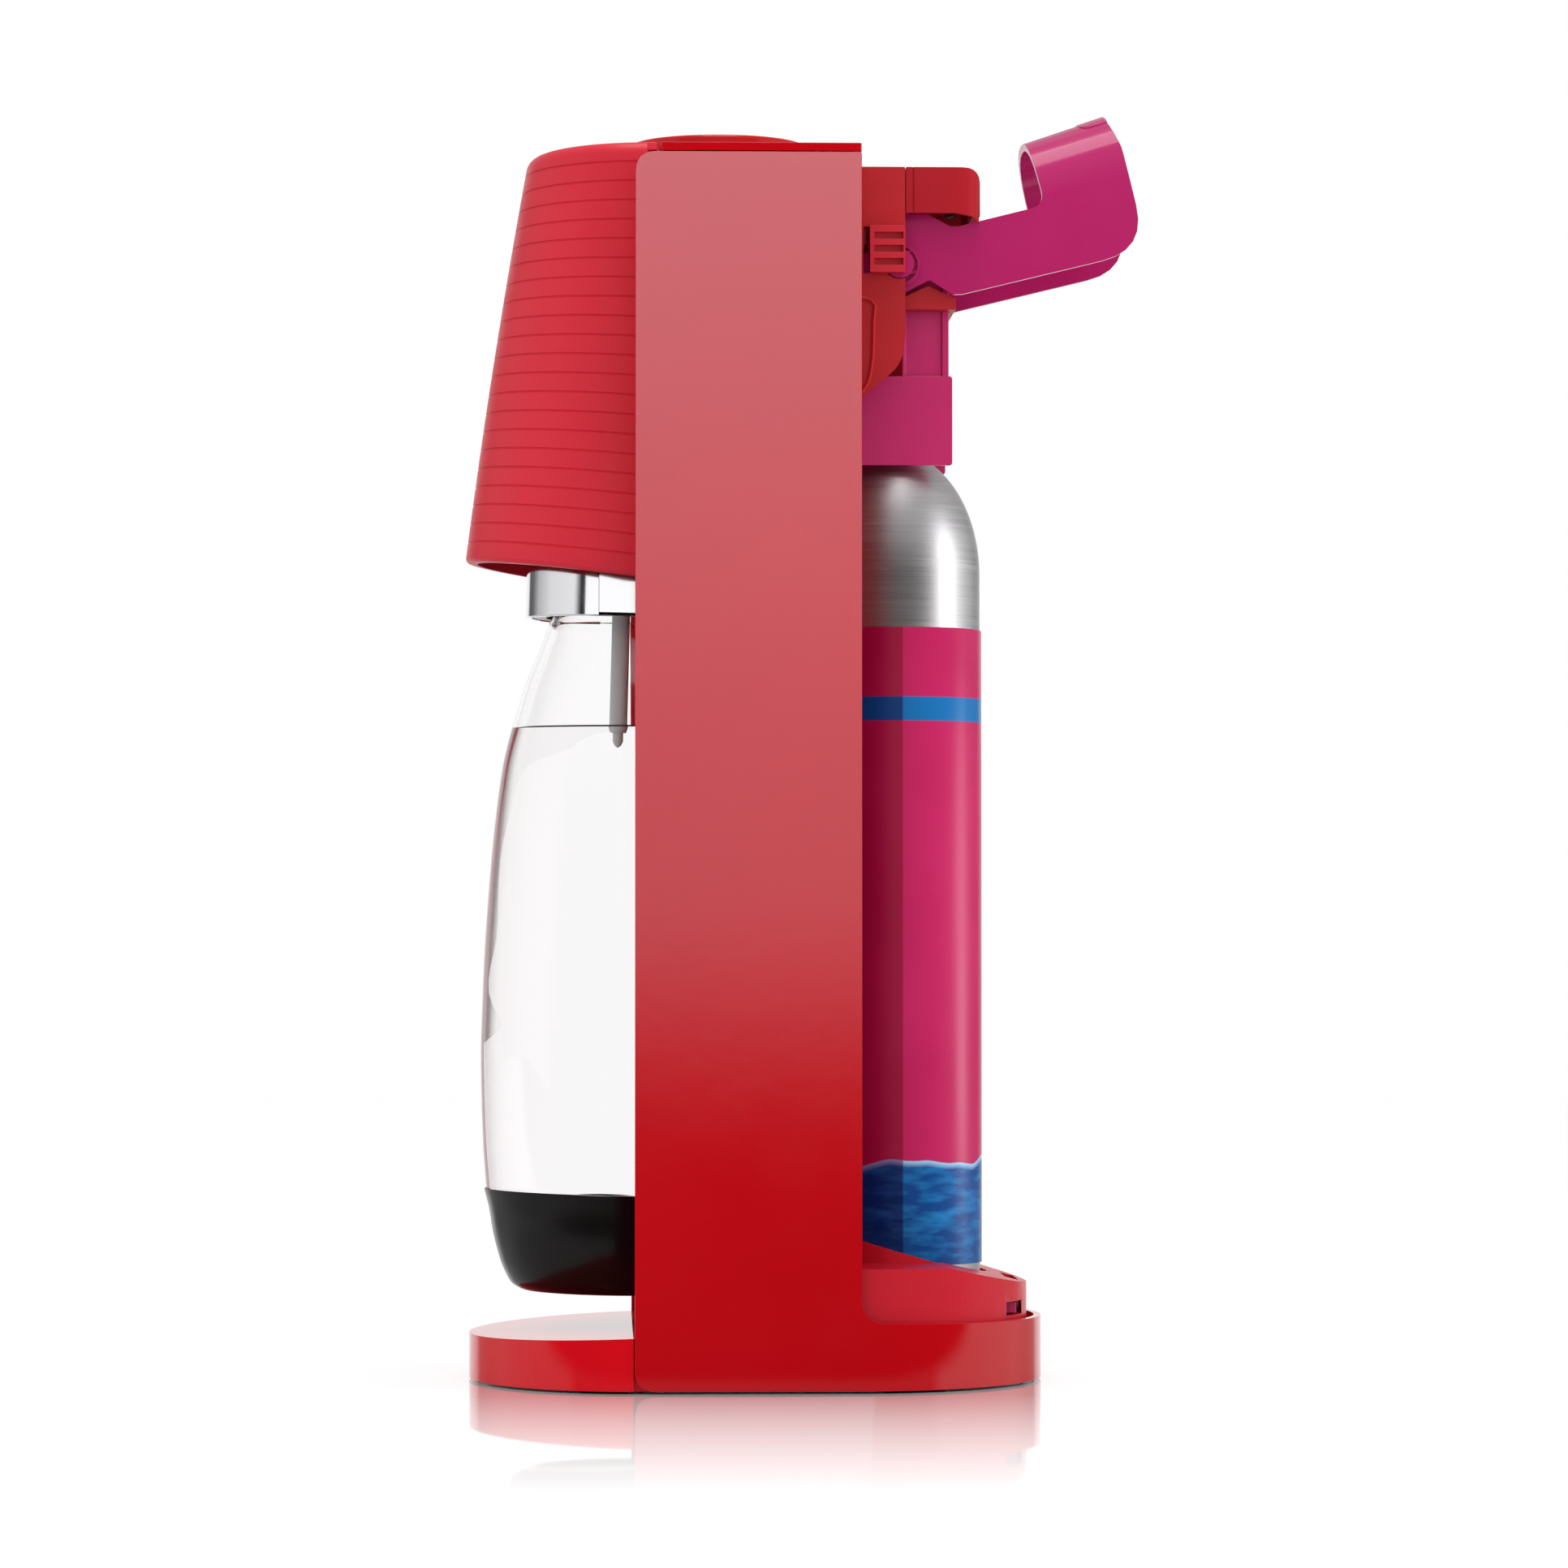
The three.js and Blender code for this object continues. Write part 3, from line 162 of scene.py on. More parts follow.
# ------------------------------------------------------------------ materials
def red_gloss(name, colour, specular=0.5):
    """Glossy lacquered red of the panels, base and covers."""
    shader = Shader(name, colour, 0.08, Specular_IOR_Level=specular)
    shader.vary_colour(9.0, 0.04)
    shader.vary_roughness(35.0, 0.07, 0.09)
    shader.bump(140.0, 0.03, 0.0004)
    return shader.material


def red_moulded(name, colour):
    """The same red on smaller mouldings, less polished."""
    shader = Shader(name, colour, 0.3, Specular_IOR_Level=0.2)
    shader.vary_colour(16.0, 0.05)
    shader.vary_roughness(50.0, 0.26, 0.36)
    shader.bump(500.0, 0.06, 0.0002)
    return shader.material


def red_satin():
    """Fine-grained satin red of the ribbed shroud."""
    shader = Shader("red_satin", (0.63, 0.014, 0.033), 0.38, Specular_IOR_Level=0.3)
    shader.vary_colour(14.0, 0.05)
    shader.vary_roughness(60.0, 0.34, 0.44)
    shader.bump(2400.0, 0.12, 0.0001)
    return shader.material


def red_inner():
    """Darker, duller red of the inner mouldings."""
    shader = Shader("red_inner", (0.50, 0.009, 0.016), 0.42, Specular_IOR_Level=0.3)
    shader.vary_colour(22.0, 0.10)
    shader.vary_roughness(80.0, 0.36, 0.50)
    shader.bump(1500.0, 0.15, 0.00015)
    return shader.material


def pink_plastic(name, colour):
    shader = Shader(name, colour, 0.2)
    shader.vary_colour(18.0, 0.03)
    shader.vary_roughness(70.0, 0.18, 0.22)
    shader.bump(900.0, 0.03, 0.0001)
    return shader.material


def black_plastic():
    shader = Shader("black_plastic", (0.006, 0.005, 0.005), 0.2, Specular_IOR_Level=0.25)
    shader.vary_roughness(45.0, 0.14, 0.26)
    shader.bump(300.0, 0.05, 0.0002)
    return shader.material


def rubber():
    shader = Shader("rubber", (0.012, 0.012, 0.012), 0.75)
    shader.vary_roughness(120.0, 0.65, 0.85)
    shader.bump(1800.0, 0.3, 0.0002)
    return shader.material


def grey_plastic():
    shader = Shader("grey_plastic", (0.42, 0.44, 0.46), 0.35)
    shader.vary_colour(60.0, 0.05)
    shader.vary_roughness(90.0, 0.28, 0.42)
    return shader.material


def hose():
    shader = Shader("hose", (0.55, 0.56, 0.58), 0.45)
    shader.vary_colour(90.0, 0.06)
    shader.bump(700.0, 0.1, 0.0002)
    return shader.material


def chrome():
    shader = Shader("chrome", (0.80, 0.80, 0.82), 0.09, 1.0)
    shader.vary_roughness(60.0, 0.07, 0.12)
    shader.bump(90.0, 0.02, 0.0002)
    return shader.material


def steel():
    shader = Shader("steel", (0.42, 0.42, 0.44), 0.3, 1.0)
    shader.vary_roughness(160.0, 0.22, 0.4, (1, 1, 12))
    return shader.material


def brass():
    shader = Shader("brass", (0.52, 0.34, 0.10), 0.28, 1.0)
    shader.vary_colour(120.0, 0.12)
    shader.vary_roughness(150.0, 0.2, 0.36)
    return shader.material


def brushed_aluminium():
    """Bare drawn aluminium: fine rings round the cylinder and small handling marks."""
    shader = Shader("brushed_aluminium", (0.42, 0.42, 0.43), 0.42, 1.0)
    rings = shader.noise(900.0, 4.0, (0.03, 0.03, 2.4))
    marks = shader.noise(1600.0, 4.0)
    shade = shader.mix(shader.spread(rings, 0.0, 1.0), (0.54, 0.53, 0.54), (0.66, 0.65, 0.66))
    speckled = shader.mix(shader.spread(marks, 0.0, 0.35, 0.55, 0.8), shade, (0.72, 0.72, 0.73))
    shader.link(speckled, shader.surface.inputs["Base Color"])
    shader.link(shader.spread(rings, 0.38, 0.50), shader.surface.inputs["Roughness"])
    bump = shader.node("ShaderNodeBump", Strength=0.12, Distance=0.0001)
    shader.link(rings, bump.inputs["Height"])
    shader.link(bump.outputs["Normal"], shader.surface.inputs["Normal"])
    return shader.material


def lets_light_through(shader):
    """Clear pieces pass light on to what they hold, instead of shading it."""
    path = shader.node("ShaderNodeLightPath")
    passing = shader.node("ShaderNodeBsdfTransparent")
    choice = shader.node("ShaderNodeMixShader")
    either = shader.node("ShaderNodeMath", operation="MAXIMUM")
    shader.link(path.outputs["Is Shadow Ray"], either.inputs[0])
    shader.link(path.outputs["Is Diffuse Ray"], either.inputs[1])
    shader.link(either.outputs[0], choice.inputs["Fac"])
    shader.link(shader.surface.outputs["BSDF"], choice.inputs[1])
    shader.link(passing.outputs["BSDF"], choice.inputs[2])
    shader.link(choice.outputs["Shader"], shader.tree.nodes["Material Output"].inputs["Surface"])
    return shader.material


def clear_bottle():
    shader = Shader("clear_bottle", (1.0, 1.0, 1.0), 0.0, IOR=1.4, Transmission_Weight=1.0)
    shader.vary_roughness(20.0, 0.0, 0.01)
    return lets_light_through(shader)


def water():
    """Bends light less than real water, so that the bottle's far side stays plain."""
    shader = Shader("water", (1.0, 1.0, 1.0), 0.0, IOR=1.2, Transmission_Weight=1.0)
    shader.vary_roughness(20.0, 0.0, 0.004)
    return lets_light_through(shader)


# Painted shade: near-black for the dark line that the water's surface shows at the wall.
def water_line_shade():
    shader = Shader("water_line_shade", (0.03, 0.03, 0.03), 0.15)
    shader.vary_roughness(40.0, 0.12, 0.18)
    return shader.material


def frosted_nozzle():
    shader = Shader("frosted_nozzle", (0.58, 0.57, 0.58), 0.4, Transmission_Weight=0.25)
    shader.vary_colour(40.0, 0.05)
    shader.vary_roughness(50.0, 0.3, 0.5)
    return shader.material


def label_film():
    """Magenta film with a blue band and a blue pool with a wavy edge at the foot; its forward half is
    darkened as painted shade, where the side panel shades it.
    """
    shader = Shader("label_film", (0.52, 0.010, 0.105), 0.3, Specular_IOR_Level=0.2)
    coords = shader.node("ShaderNodeTexCoord")
    split = shader.node("ShaderNodeSeparateXYZ")
    shader.link(coords.outputs["Object"], split.inputs["Vector"])
    height = split.outputs["Z"]

    def above(value, limit, soft=0.0002):
        return shader.spread(value, 0.0, 1.0, limit - soft, limit + soft)

    def product(first, second):
        times = shader.node("ShaderNodeMath", operation="MULTIPLY")
        shader.link(first, times.inputs[0])
        shader.link(second, times.inputs[1])
        return times.outputs[0]

    def below(value, limit, soft=0.0002):
        return shader.spread(value, 1.0, 0.0, limit - soft, limit + soft)

    ink = shader.noise(25.0, 2.0)
    magenta = shader.mix(shader.spread(ink, 0.0, 1.0), (0.49, 0.008, 0.095), (0.55, 0.012, 0.115))
    band_low = LABEL_HIGH.z - 32 * MM
    band_high = LABEL_HIGH.z - 23.8 * MM
    band = product(above(height, band_low), below(height, band_high))
    banded = shader.mix(band, magenta, (0.002, 0.15, 0.43))

    wave = shader.noise(26.0, 2.0, (1, 1, 0.01))
    ripple = shader.node("ShaderNodeMath", operation="MULTIPLY_ADD")
    ripple.inputs[1].default_value = 22 * MM
    ripple.inputs[2].default_value = LABEL_LOW.z + 24 * MM
    shader.link(wave, ripple.inputs[0])
    depth = shader.node("ShaderNodeMath", operation="SUBTRACT")
    shader.link(ripple.outputs[0], depth.inputs[0])
    shader.link(height, depth.inputs[1])
    glints = shader.noise(90.0, 5.0, (1, 1, 3.5))
    pool = shader.mix(shader.spread(glints, 0.0, 1.0, 0.42, 0.75), (0.0, 0.06, 0.27), (0.01, 0.21, 0.52))
    foam = product(above(depth.outputs[0], 0.0), below(depth.outputs[0], 1.2 * MM, 0.001))
    with_pool = shader.mix(above(depth.outputs[0], 0.0), banded, pool)
    with_foam = shader.mix(foam, with_pool, (0.35, 0.62, 0.85))

    # Painted shade: the film forward of this line is darkened, standing in for the shade of the side panel.
    shade_edge_y = CYLINDER.y + 1.5 * MM
    shaded_half = shader.spread(split.outputs["Y"], 1.0, 0.0, shade_edge_y - 0.2 * MM, shade_edge_y + 0.2 * MM)
    painted_shade = shader.node("ShaderNodeVectorMath", operation="MULTIPLY")
    shader.link(with_foam, painted_shade.inputs[0])
    painted_shade.inputs[1].default_value = (0.64, 0.26, 0.42)
    shader.link(shader.mix(shaded_half, with_foam, painted_shade.outputs[0]), shader.surface.inputs["Base Color"])
    shader.link(shader.spread(ink, 0.26, 0.34), shader.surface.inputs["Roughness"])
    return shader.material


def floor_material():
    """White board whose mirror image fades away from the object; it looks dark in glossy things above it."""
    shader = Shader("floor", (0.95, 0.95, 0.95), 1.0, Specular_IOR_Level=0.0)
    tree = shader.tree
    split = shader.node("ShaderNodeSeparateXYZ")
    shader.link(shader.place(), split.inputs["Vector"])
    fade = shader.spread(split.outputs["X"], 0.76, 0.0, BODY_HIGH.x, BODY_HIGH.x + 0.45)
    gloss = shader.node("ShaderNodeBsdfGlossy", Color=(1, 1, 1, 1), Roughness=0.03)
    mirrored = shader.node("ShaderNodeMixShader")
    shader.link(fade, mirrored.inputs["Fac"])
    shader.link(shader.surface.outputs["BSDF"], mirrored.inputs[1])
    shader.link(gloss.outputs["BSDF"], mirrored.inputs[2])
    path = shader.node("ShaderNodeLightPath")
    away = shader.spread(split.outputs["X"], 0.0, 1.0, BODY_HIGH.x + 0.03, BODY_HIGH.x + 0.08)
    hidden = shader.node("ShaderNodeMath", operation="MULTIPLY")
    shader.link(path.outputs["Is Glossy Ray"], hidden.inputs[0])
    shader.link(away, hidden.inputs[1])
    dark = shader.node("ShaderNodeBsdfDiffuse", Color=(0.02, 0.02, 0.02, 1))
    seen = shader.node("ShaderNodeMixShader")
    shader.link(hidden.outputs[0], seen.inputs["Fac"])
    shader.link(mirrored.outputs["Shader"], seen.inputs[1])
    shader.link(dark.outputs["BSDF"], seen.inputs[2])
    shader.link(seen.outputs["Shader"], tree.nodes["Material Output"].inputs["Surface"])
    return shader.material


RED_GLOSS = red_gloss("red_gloss", (0.49, 0.0008, 0.005))
# Painted light: the panels' glossy red made lighter for the base, standing in for light the base lacks.
RED_GLOSS_LIT = red_gloss("red_gloss_lit", (0.67, 0.003, 0.010), 0.3)
# Painted light and shade: one moulded red in two copies, darker on the rear cap and lighter on the tray.
RED_MOULDED_SHADED = red_moulded("red_moulded_shaded", (0.44, 0.008, 0.018))
RED_MOULDED_LIT = red_moulded("red_moulded_lit", (0.55, 0.009, 0.023))
RED_SATIN = red_satin()
RED_INNER = red_inner()
PINK = pink_plastic("pink_plastic", (0.45, 0.010, 0.122))
# A brighter pink: the carrier's own, and on the cover latch painted light that offsets the shade the latch
# sits in.
PINK_BRIGHT = pink_plastic("pink_bright", (0.58, 0.024, 0.150))
BLACK = black_plastic()
RUBBER = rubber()
GREY = grey_plastic()
HOSE = hose()
CHROME = chrome()
STEEL = steel()
BRASS = brass()
ALUMINIUM = brushed_aluminium()
CLEAR = clear_bottle()
WATER = water()
WATER_LINE_SHADE = water_line_shade()
NOZZLE = frosted_nozzle()
LABEL = label_film()


# ------------------------------------------------------------------ mesh building blocks
def mesh_object(name, mesh, material, sharp_degrees=35):
    piece = bpy.data.objects.new(name, mesh)
    bpy.context.scene.collection.objects.link(piece)
    mesh.materials.clear()
    mesh.materials.append(material)
    mesh.shade_smooth()
    mesh.set_sharp_from_angle(angle=radians(sharp_degrees))
    return piece


def build(name, points, faces, material, sharp_degrees=35):
    mesh = bpy.data.meshes.new(name)
    mesh.from_pydata([tuple(point) for point in points], [], faces)
    shape = bmesh.new()
    shape.from_mesh(mesh)
    bmesh.ops.remove_doubles(shape, verts=shape.verts, dist=1e-7)
    bmesh.ops.recalc_face_normals(shape, faces=shape.faces)
    shape.to_mesh(mesh)
    shape.free()
    return mesh_object(name, mesh, material, sharp_degrees)


def lathe(name, profile, material, placing, segments=96, sharp_degrees=35):
    """Turns (radius, height) pairs round Z, then places them. The ends close on the axis or on each other."""
    points = []
    for radius, height in profile:
        for i in range(segments):
            angle = 2 * pi * i / segments
            points.append(placing @ Vector((radius * cos(angle), radius * sin(angle), height)))
    faces = []
    rows = len(profile)
    closed = profile[0][0] > 0
    for row in range(rows if closed else rows - 1):
        for i in range(segments):
            nxt = (i + 1) % segments
            upper = (row + 1) % rows
            faces.append((row * segments + i, row * segments + nxt, upper * segments + nxt,
                          upper * segments + i))
    return build(name, points, faces, material, sharp_degrees)


def loft(name, rings, material, sharp_degrees=35):
    """A closed skin through rings of equally many points."""
    count = len(rings[0])
    points = [point for ring in rings for point in ring]
    faces = [tuple(reversed(range(count))), tuple(range(len(points) - count, len(points)))]
    for row in range(len(rings) - 1):
        for i in range(count):
            nxt = (i + 1) % count
            faces.append((row * count + i, row * count + nxt, (row + 1) * count + nxt,
                          (row + 1) * count + i))
    return build(name, points, faces, material, sharp_degrees)


def block(name, low, high, material):
    corners = [(low[0], low[1]), (high[0], low[1]), (high[0], high[1]), (low[0], high[1])]
    rings = [[Vector((x, y, z)) for x, y in corners] for z in (low[2], high[2])]
    return loft(name, rings, material)


def boolean(piece, cutter, operation):
    modifier = piece.modifiers.new("boolean", "BOOLEAN")
    modifier.operation = operation
    modifier.solver = "EXACT"
    modifier.object = cutter
    apply_modifiers(piece)
    bpy.data.objects.remove(cutter)


def apply_modifiers(piece, sharp_degrees=35):
    evaluated = piece.evaluated_get(bpy.context.evaluated_depsgraph_get())
    mesh = bpy.data.meshes.new_from_object(evaluated)
    piece.modifiers.clear()
    piece.data = mesh
    mesh.shade_smooth()
    mesh.set_sharp_from_angle(angle=radians(sharp_degrees))


def soften(piece, width, degrees=30, segments=2):
    """A small rounded edge wherever two faces meet sharply."""
    bevel = piece.modifiers.new("edges", "BEVEL")
    bevel.limit_method = "ANGLE"
    bevel.angle_limit = radians(degrees)
    bevel.width = width
    bevel.segments = segments
    bevel.harden_normals = True


def finish_node(node, material, width=0.4 * MM):
    """A CAD node keeps its shape and gets a material and softened edges."""
    piece = frame["nodes"][node]
    mesh = piece.data
    mesh.materials.clear()
    mesh.materials.append(material)
    if "custom_normal" in mesh.attributes:
        mesh.attributes.remove(mesh.attributes["custom_normal"])
    mesh.polygons.foreach_set("use_smooth", [True] * len(mesh.polygons))
    weld = piece.modifiers.new("weld", "WELD")
    weld.merge_threshold = 1e-6
    flat = piece.modifiers.new("flat_faces", "DECIMATE")
    flat.decimate_type = "DISSOLVE"
    flat.angle_limit = radians(1)
    soften(piece, width)


# ------------------------------------------------------------------ shroud
SHROUD_BANDS = 22
PLAN_STEPS = 72
SHROUD_TOP = 421.0             # these are in millimetres
SHROUD_BOTTOM = 280.8
SHROUD_LENGTH = 140.7          # the height that the grooves and edges are laid out on
SHROUD_BOW = 1.0               # the front line bows forward by this much halfway down
FIRST_GROOVE = 6.8             # below the top
LAST_GROOVE = 133.7
GROOVE_HALF_WIDTH = 0.38
GROOVE_DEPTH = 0.33
TOP_EDGE = 4.0
RIM_EDGE = 1.8
SHROUD_WALL = 2.5
HALF_WIDTH_TOP = 44
HALF_WIDTH_RIM = 50
SHROUD_FRONT_TOP = -78.3
SHROUD_SIDE = -41.9            # the rounded plan starts here, and straight sides run back from it
SHROUD_REAR = -34.4
FLANGE_FRONT = -38
SLOPE_TOP = -0.02              # how far the grooves fall towards the rear, per unit of length
SLOPE_RIM = 0.127


def shroud_ring(level, inset, lift=0.0):
    """One ring of the shroud's skin: level 0 is the top plane and 1 the lower rim."""
    top, bottom = SHROUD_TOP * MM, SHROUD_BOTTOM * MM
    front_top, front_bottom = SHROUD_FRONT_TOP * MM + SHIFT_Y, SHROUD_LOW.y
    side = SHROUD_SIDE * MM + SHIFT_Y
    rear = SHROUD_REAR * MM + SHIFT_Y
    half_width = (HALF_WIDTH_TOP + (HALF_WIDTH_RIM - HALF_WIDTH_TOP) * level) * MM - inset
    bow = 4 * SHROUD_BOW * level * (1 - level) * MM
    front = front_top + (front_bottom - front_top) * level - bow + inset
    slope = SLOPE_TOP + (SLOPE_RIM - SLOPE_TOP) * level
    height = top + (bottom - top) * level + lift
    ring = [Vector((-half_width, rear, 0))]
    for i in range(PLAN_STEPS + 1):
        angle = pi + pi * i / PLAN_STEPS
        ring.append(Vector((half_width * cos(angle), side + (side - front) * sin(angle), 0)))
    ring.append(Vector((half_width, rear, 0)))
    for point in ring:
        point.z = height - slope * (point.y - front)
    return ring


def shroud_outside():
    """Rounded top edge, ribs parted by narrow grooves, rounded lower edge."""
    first = FIRST_GROOVE / SHROUD_LENGTH
    last = LAST_GROOVE / SHROUD_LENGTH
    groove_half = GROOVE_HALF_WIDTH / SHROUD_LENGTH
    depth = GROOVE_DEPTH * MM
    rings = []
    for i in range(7):
        turn = pi / 2 * i / 6
        rings.append(shroud_ring(TOP_EDGE * (1 - cos(turn)) / SHROUD_LENGTH, TOP_EDGE * MM * (1 - sin(turn))))
    for i in range(SHROUD_BANDS - 1):
        level = first + (last - first) * i / (SHROUD_BANDS - 2)
        rings += [shroud_ring(level - groove_half, 0), shroud_ring(level - groove_half * 0.35, depth),
                  shroud_ring(level + groove_half * 0.35, depth), shroud_ring(level + groove_half, 0)]
    for i in range(5):
        turn = pi / 2 * i / 4
        rings.append(shroud_ring(1 - RIM_EDGE * (1 - sin(turn)) / SHROUD_LENGTH,
                                 RIM_EDGE * MM * (1 - cos(turn))))
    return rings


def make_shroud():
    shell = loft("ribbed_shroud", shroud_outside(), RED_SATIN)
    wall = SHROUD_WALL * MM
    inside = [shroud_ring(0, 7 * MM, -wall), shroud_ring(0.03, wall, -wall), shroud_ring(0.97, wall),
              shroud_ring(1, 4.2 * MM, 0.5 * MM), shroud_ring(1, 4.2 * MM, -15 * MM)]
    hollow = loft("hollow", [[Vector((p.x, p.y + (2 * wall if i in (0, PLAN_STEPS + 2) else 0), p.z))
                             for i, p in enumerate(ring)] for ring in inside], RED_SATIN)
    boolean(shell, hollow, "DIFFERENCE")
    seat_low, seat_high = COVER_LOW.z - 6 * MM, COVER_HIGH.z + 20 * MM
    seat_radius = BUTTON.y - COVER_LOW.y + 0.4 * MM
    lobe = [(0, seat_low), (seat_radius, seat_low), (seat_radius, seat_high), (0, seat_high)]
    seat = lathe("seat", lobe, RED_SATIN, Matrix.Translation((0, BUTTON.y, 0)))
    boolean(shell, seat, "DIFFERENCE")
    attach(shell, "root")
    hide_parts("front_shroud")


def make_shroud_flanges():
    """The flat flanges that close the shroud to the side panels."""
    front = FLANGE_FRONT * MM + SHIFT_Y
    rear = front + 3.2 * MM
    inner = 40 * MM
    outer = BODY_HIGH.x - 2.8 * MM
    for side, name in ((1, "right"), (-1, "left")):
        low = Vector((min(inner * side, outer * side), front, 274 * MM))
        high = Vector((max(inner * side, outer * side), rear, COVER_HIGH.z))
        flange = block("shroud_flange_" + name, low, high, RED_SATIN)
        edge = sorted((outer * side - 3 * MM * side, BODY_HIGH.x * side))
        top = block("flange_top", (edge[0], front, COVER_LOW.z), (edge[1], rear, COVER_HIGH.z), RED_SATIN)
        boolean(flange, top, "UNION")
        soften(flange, 0.5 * MM)
        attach(flange, "root")


# ------------------------------------------------------------------ bottle, cup and water
def spline(points, steps):
    """A smooth curve through (radius, height) points."""
    made = []
    for i in range(len(points) - 1):
        a, b = Vector(points[i]), Vector(points[i + 1])
        before = Vector(points[i - 1]) if i else a
        after = Vector(points[i + 2]) if i + 2 < len(points) else b
        handle_a = a + (b - before) / 6
        handle_b = b - (after - a) / 6
        made += interpolate_bezier(a, handle_a, handle_b, b, steps + 1)[: -1]
    return [tuple(point[:2]) for point in made] + [points[-1]]


def on_bottle_axis():
    """Placing whose origin is on the bottle's axis at the collar's lower edge."""
    turn = Vector((0, 0, 1)).rotation_difference(BOTTLE_UP).to_matrix().to_4x4()
    return Matrix.Translation(MOUTH - BOTTLE_UP * SEAL_HEIGHT * MM) @ turn


def millimetres(profile):
    return [(radius * MM, height * MM) for radius, height in profile]


BOTTLE_SIDE = spline([(24.6, -1), (27.6, -10), (31.8, -21), (35.2, -32.6), (38.1, -44), (40.0, -55),
                      (42.2, -78), (43.9, -111), (44.3, -134), (44.3, -152), (42.9, -179), (41.2, -197)], 5)
BOTTLE_FOOT = spline([(40.5, -198.5), (36.8, -212), (33.4, -221.4), (27.6, -226.4), (22, -228)], 3)
BOTTLE_WALL = 2.6
WATER_LEVEL = 223.4            # mm above the ground
WATER_RADIUS = 33.7            # mm, at that level
SEAL_HEIGHT = 23.2             # mm, from the collar's lower edge to the middle of the seal


def inward(curve, wall):
    """The curve moved towards the axis, square to itself."""
    moved = []
    for i, (radius, height) in enumerate(curve):
        before = Vector(curve[max(i - 1, 0)])
        after = Vector(curve[min(i + 1, len(curve) - 1)])
        along = (after - before).normalized()
        moved.append((max(radius + along.y * wall, 0.0), height - along.x * wall))
    return moved


def make_bottle():
    outer = BOTTLE_SIDE + BOTTLE_FOOT
    inner = inward(outer, BOTTLE_WALL)
    neck = [(22.6, 22), (22.6, 10), (24.2, 9.2), (24.2, 6.6), (22.6, 5.8), (22.9, 2)]
    profile = neck + outer + [(0, -228)]
    back = [(0, -228 + BOTTLE_WALL)] + inner[::-1] + [(20.8, 2), (20.8, 22)]
    piece = lathe("clear_bottle", millimetres(profile + back), CLEAR, on_bottle_axis(), 128, 50)
    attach(piece, "bottle")
    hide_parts("bottle")


def make_water():
    """Fills the bottle to a level surface; it overlaps the wall slightly so that no air shows between."""
    outline = [(0, 5)] + [(radius + 0.05, height) for radius, height in inward(BOTTLE_SIDE, BOTTLE_WALL)]
    outline += [(radius + 0.05, height) for radius, height in inward(BOTTLE_FOOT, BOTTLE_WALL)]
    outline.append((0, -228 + BOTTLE_WALL - 0.05))
    piece = lathe("water", millimetres(outline), WATER, on_bottle_axis(), 128, 50)
    shape = bmesh.new()
    shape.from_mesh(piece.data)
    level = Vector((0, 0, WATER_LEVEL * MM))
    geometry = shape.verts[:] + shape.edges[:] + shape.faces[:]
    cut = bmesh.ops.bisect_plane(shape, geom=geometry, plane_co=level, plane_no=(0, 0, 1), clear_outer=True)
    rim = [edge for edge in cut["geom_cut"] if isinstance(edge, bmesh.types.BMEdge)]
    bmesh.ops.edgeloop_fill(shape, edges=rim)
    shape.to_mesh(piece.data)
    shape.free()
    piece.data.set_sharp_from_angle(angle=radians(50))
    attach(piece, "bottle")


def make_water_line_shade():
    """Painted shade: a narrow dark ring standing in for the dark line where the water's surface meets the
    wall.
    """
    outside, inside, half = WATER_RADIUS, WATER_RADIUS - 0.6, 0.3
    centre = MOUTH + BOTTLE_UP * ((WATER_LEVEL * MM - MOUTH.z) / BOTTLE_UP.z)
    profile = [(inside, -half), (outside, -half), (outside, half), (inside, half)]
    piece = lathe("water_line_shade", millimetres(profile), WATER_LINE_SHADE, Matrix.Translation(centre), 128, 50)
    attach(piece, "bottle")


def make_cup():
    outside = spline([(41.9, -197), (40.1, -203.4), (38.3, -212.4), (35.6, -221.4), (33.5, -226)], 4)
    roll = spline([(33.5, -226), (31.6, -228.9), (28.2, -230.9), (25, -231.3)], 4)[1:]
    inside = [(radius + 0.35, height) for radius, height in BOTTLE_FOOT]
    profile = [(0, -230.1), (23, -230.1)] + roll[::-1] + outside[::-1]
    profile += [(41.6, -196.6)] + inside + [(0, -228.35)]
    piece = lathe("bottle_foot_cup", millimetres(profile), BLACK, on_bottle_axis(), 128, 50)
    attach(piece, "bottle")
    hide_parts("bottle_cup")


# ------------------------------------------------------------------ collar
def make_collar():
    """The chrome collar's front half, with its rolled top edge and the plain lower edge."""
    profile = millimetres([(31, 0.3), (31.3, 0), (32.6, 0), (33, 0.4),
                           (33, 33), (32.9, 33.6), (32.4, 34), (31, 34)])
    piece = lathe("chrome_collar_front", profile, CHROME, on_bottle_axis(), 160, 30)
    shape = bmesh.new()
    shape.from_mesh(piece.data)
    geometry = shape.verts[:] + shape.edges[:] + shape.faces[:]
    cut = bmesh.ops.bisect_plane(shape, geom=geometry, plane_co=MOUTH + Vector((0, -8.4 * MM, 0)),
                                 plane_no=(0, 1, 0), clear_outer=True)
    rim = [edge for edge in cut["geom_cut"] if isinstance(edge, bmesh.types.BMEdge)]
    bmesh.ops.holes_fill(shape, edges=rim)
    shape.to_mesh(piece.data)
    shape.free()
    piece.data.set_sharp_from_angle(angle=radians(30))
    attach(piece, "holder")
    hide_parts("collar_front")
    return piece


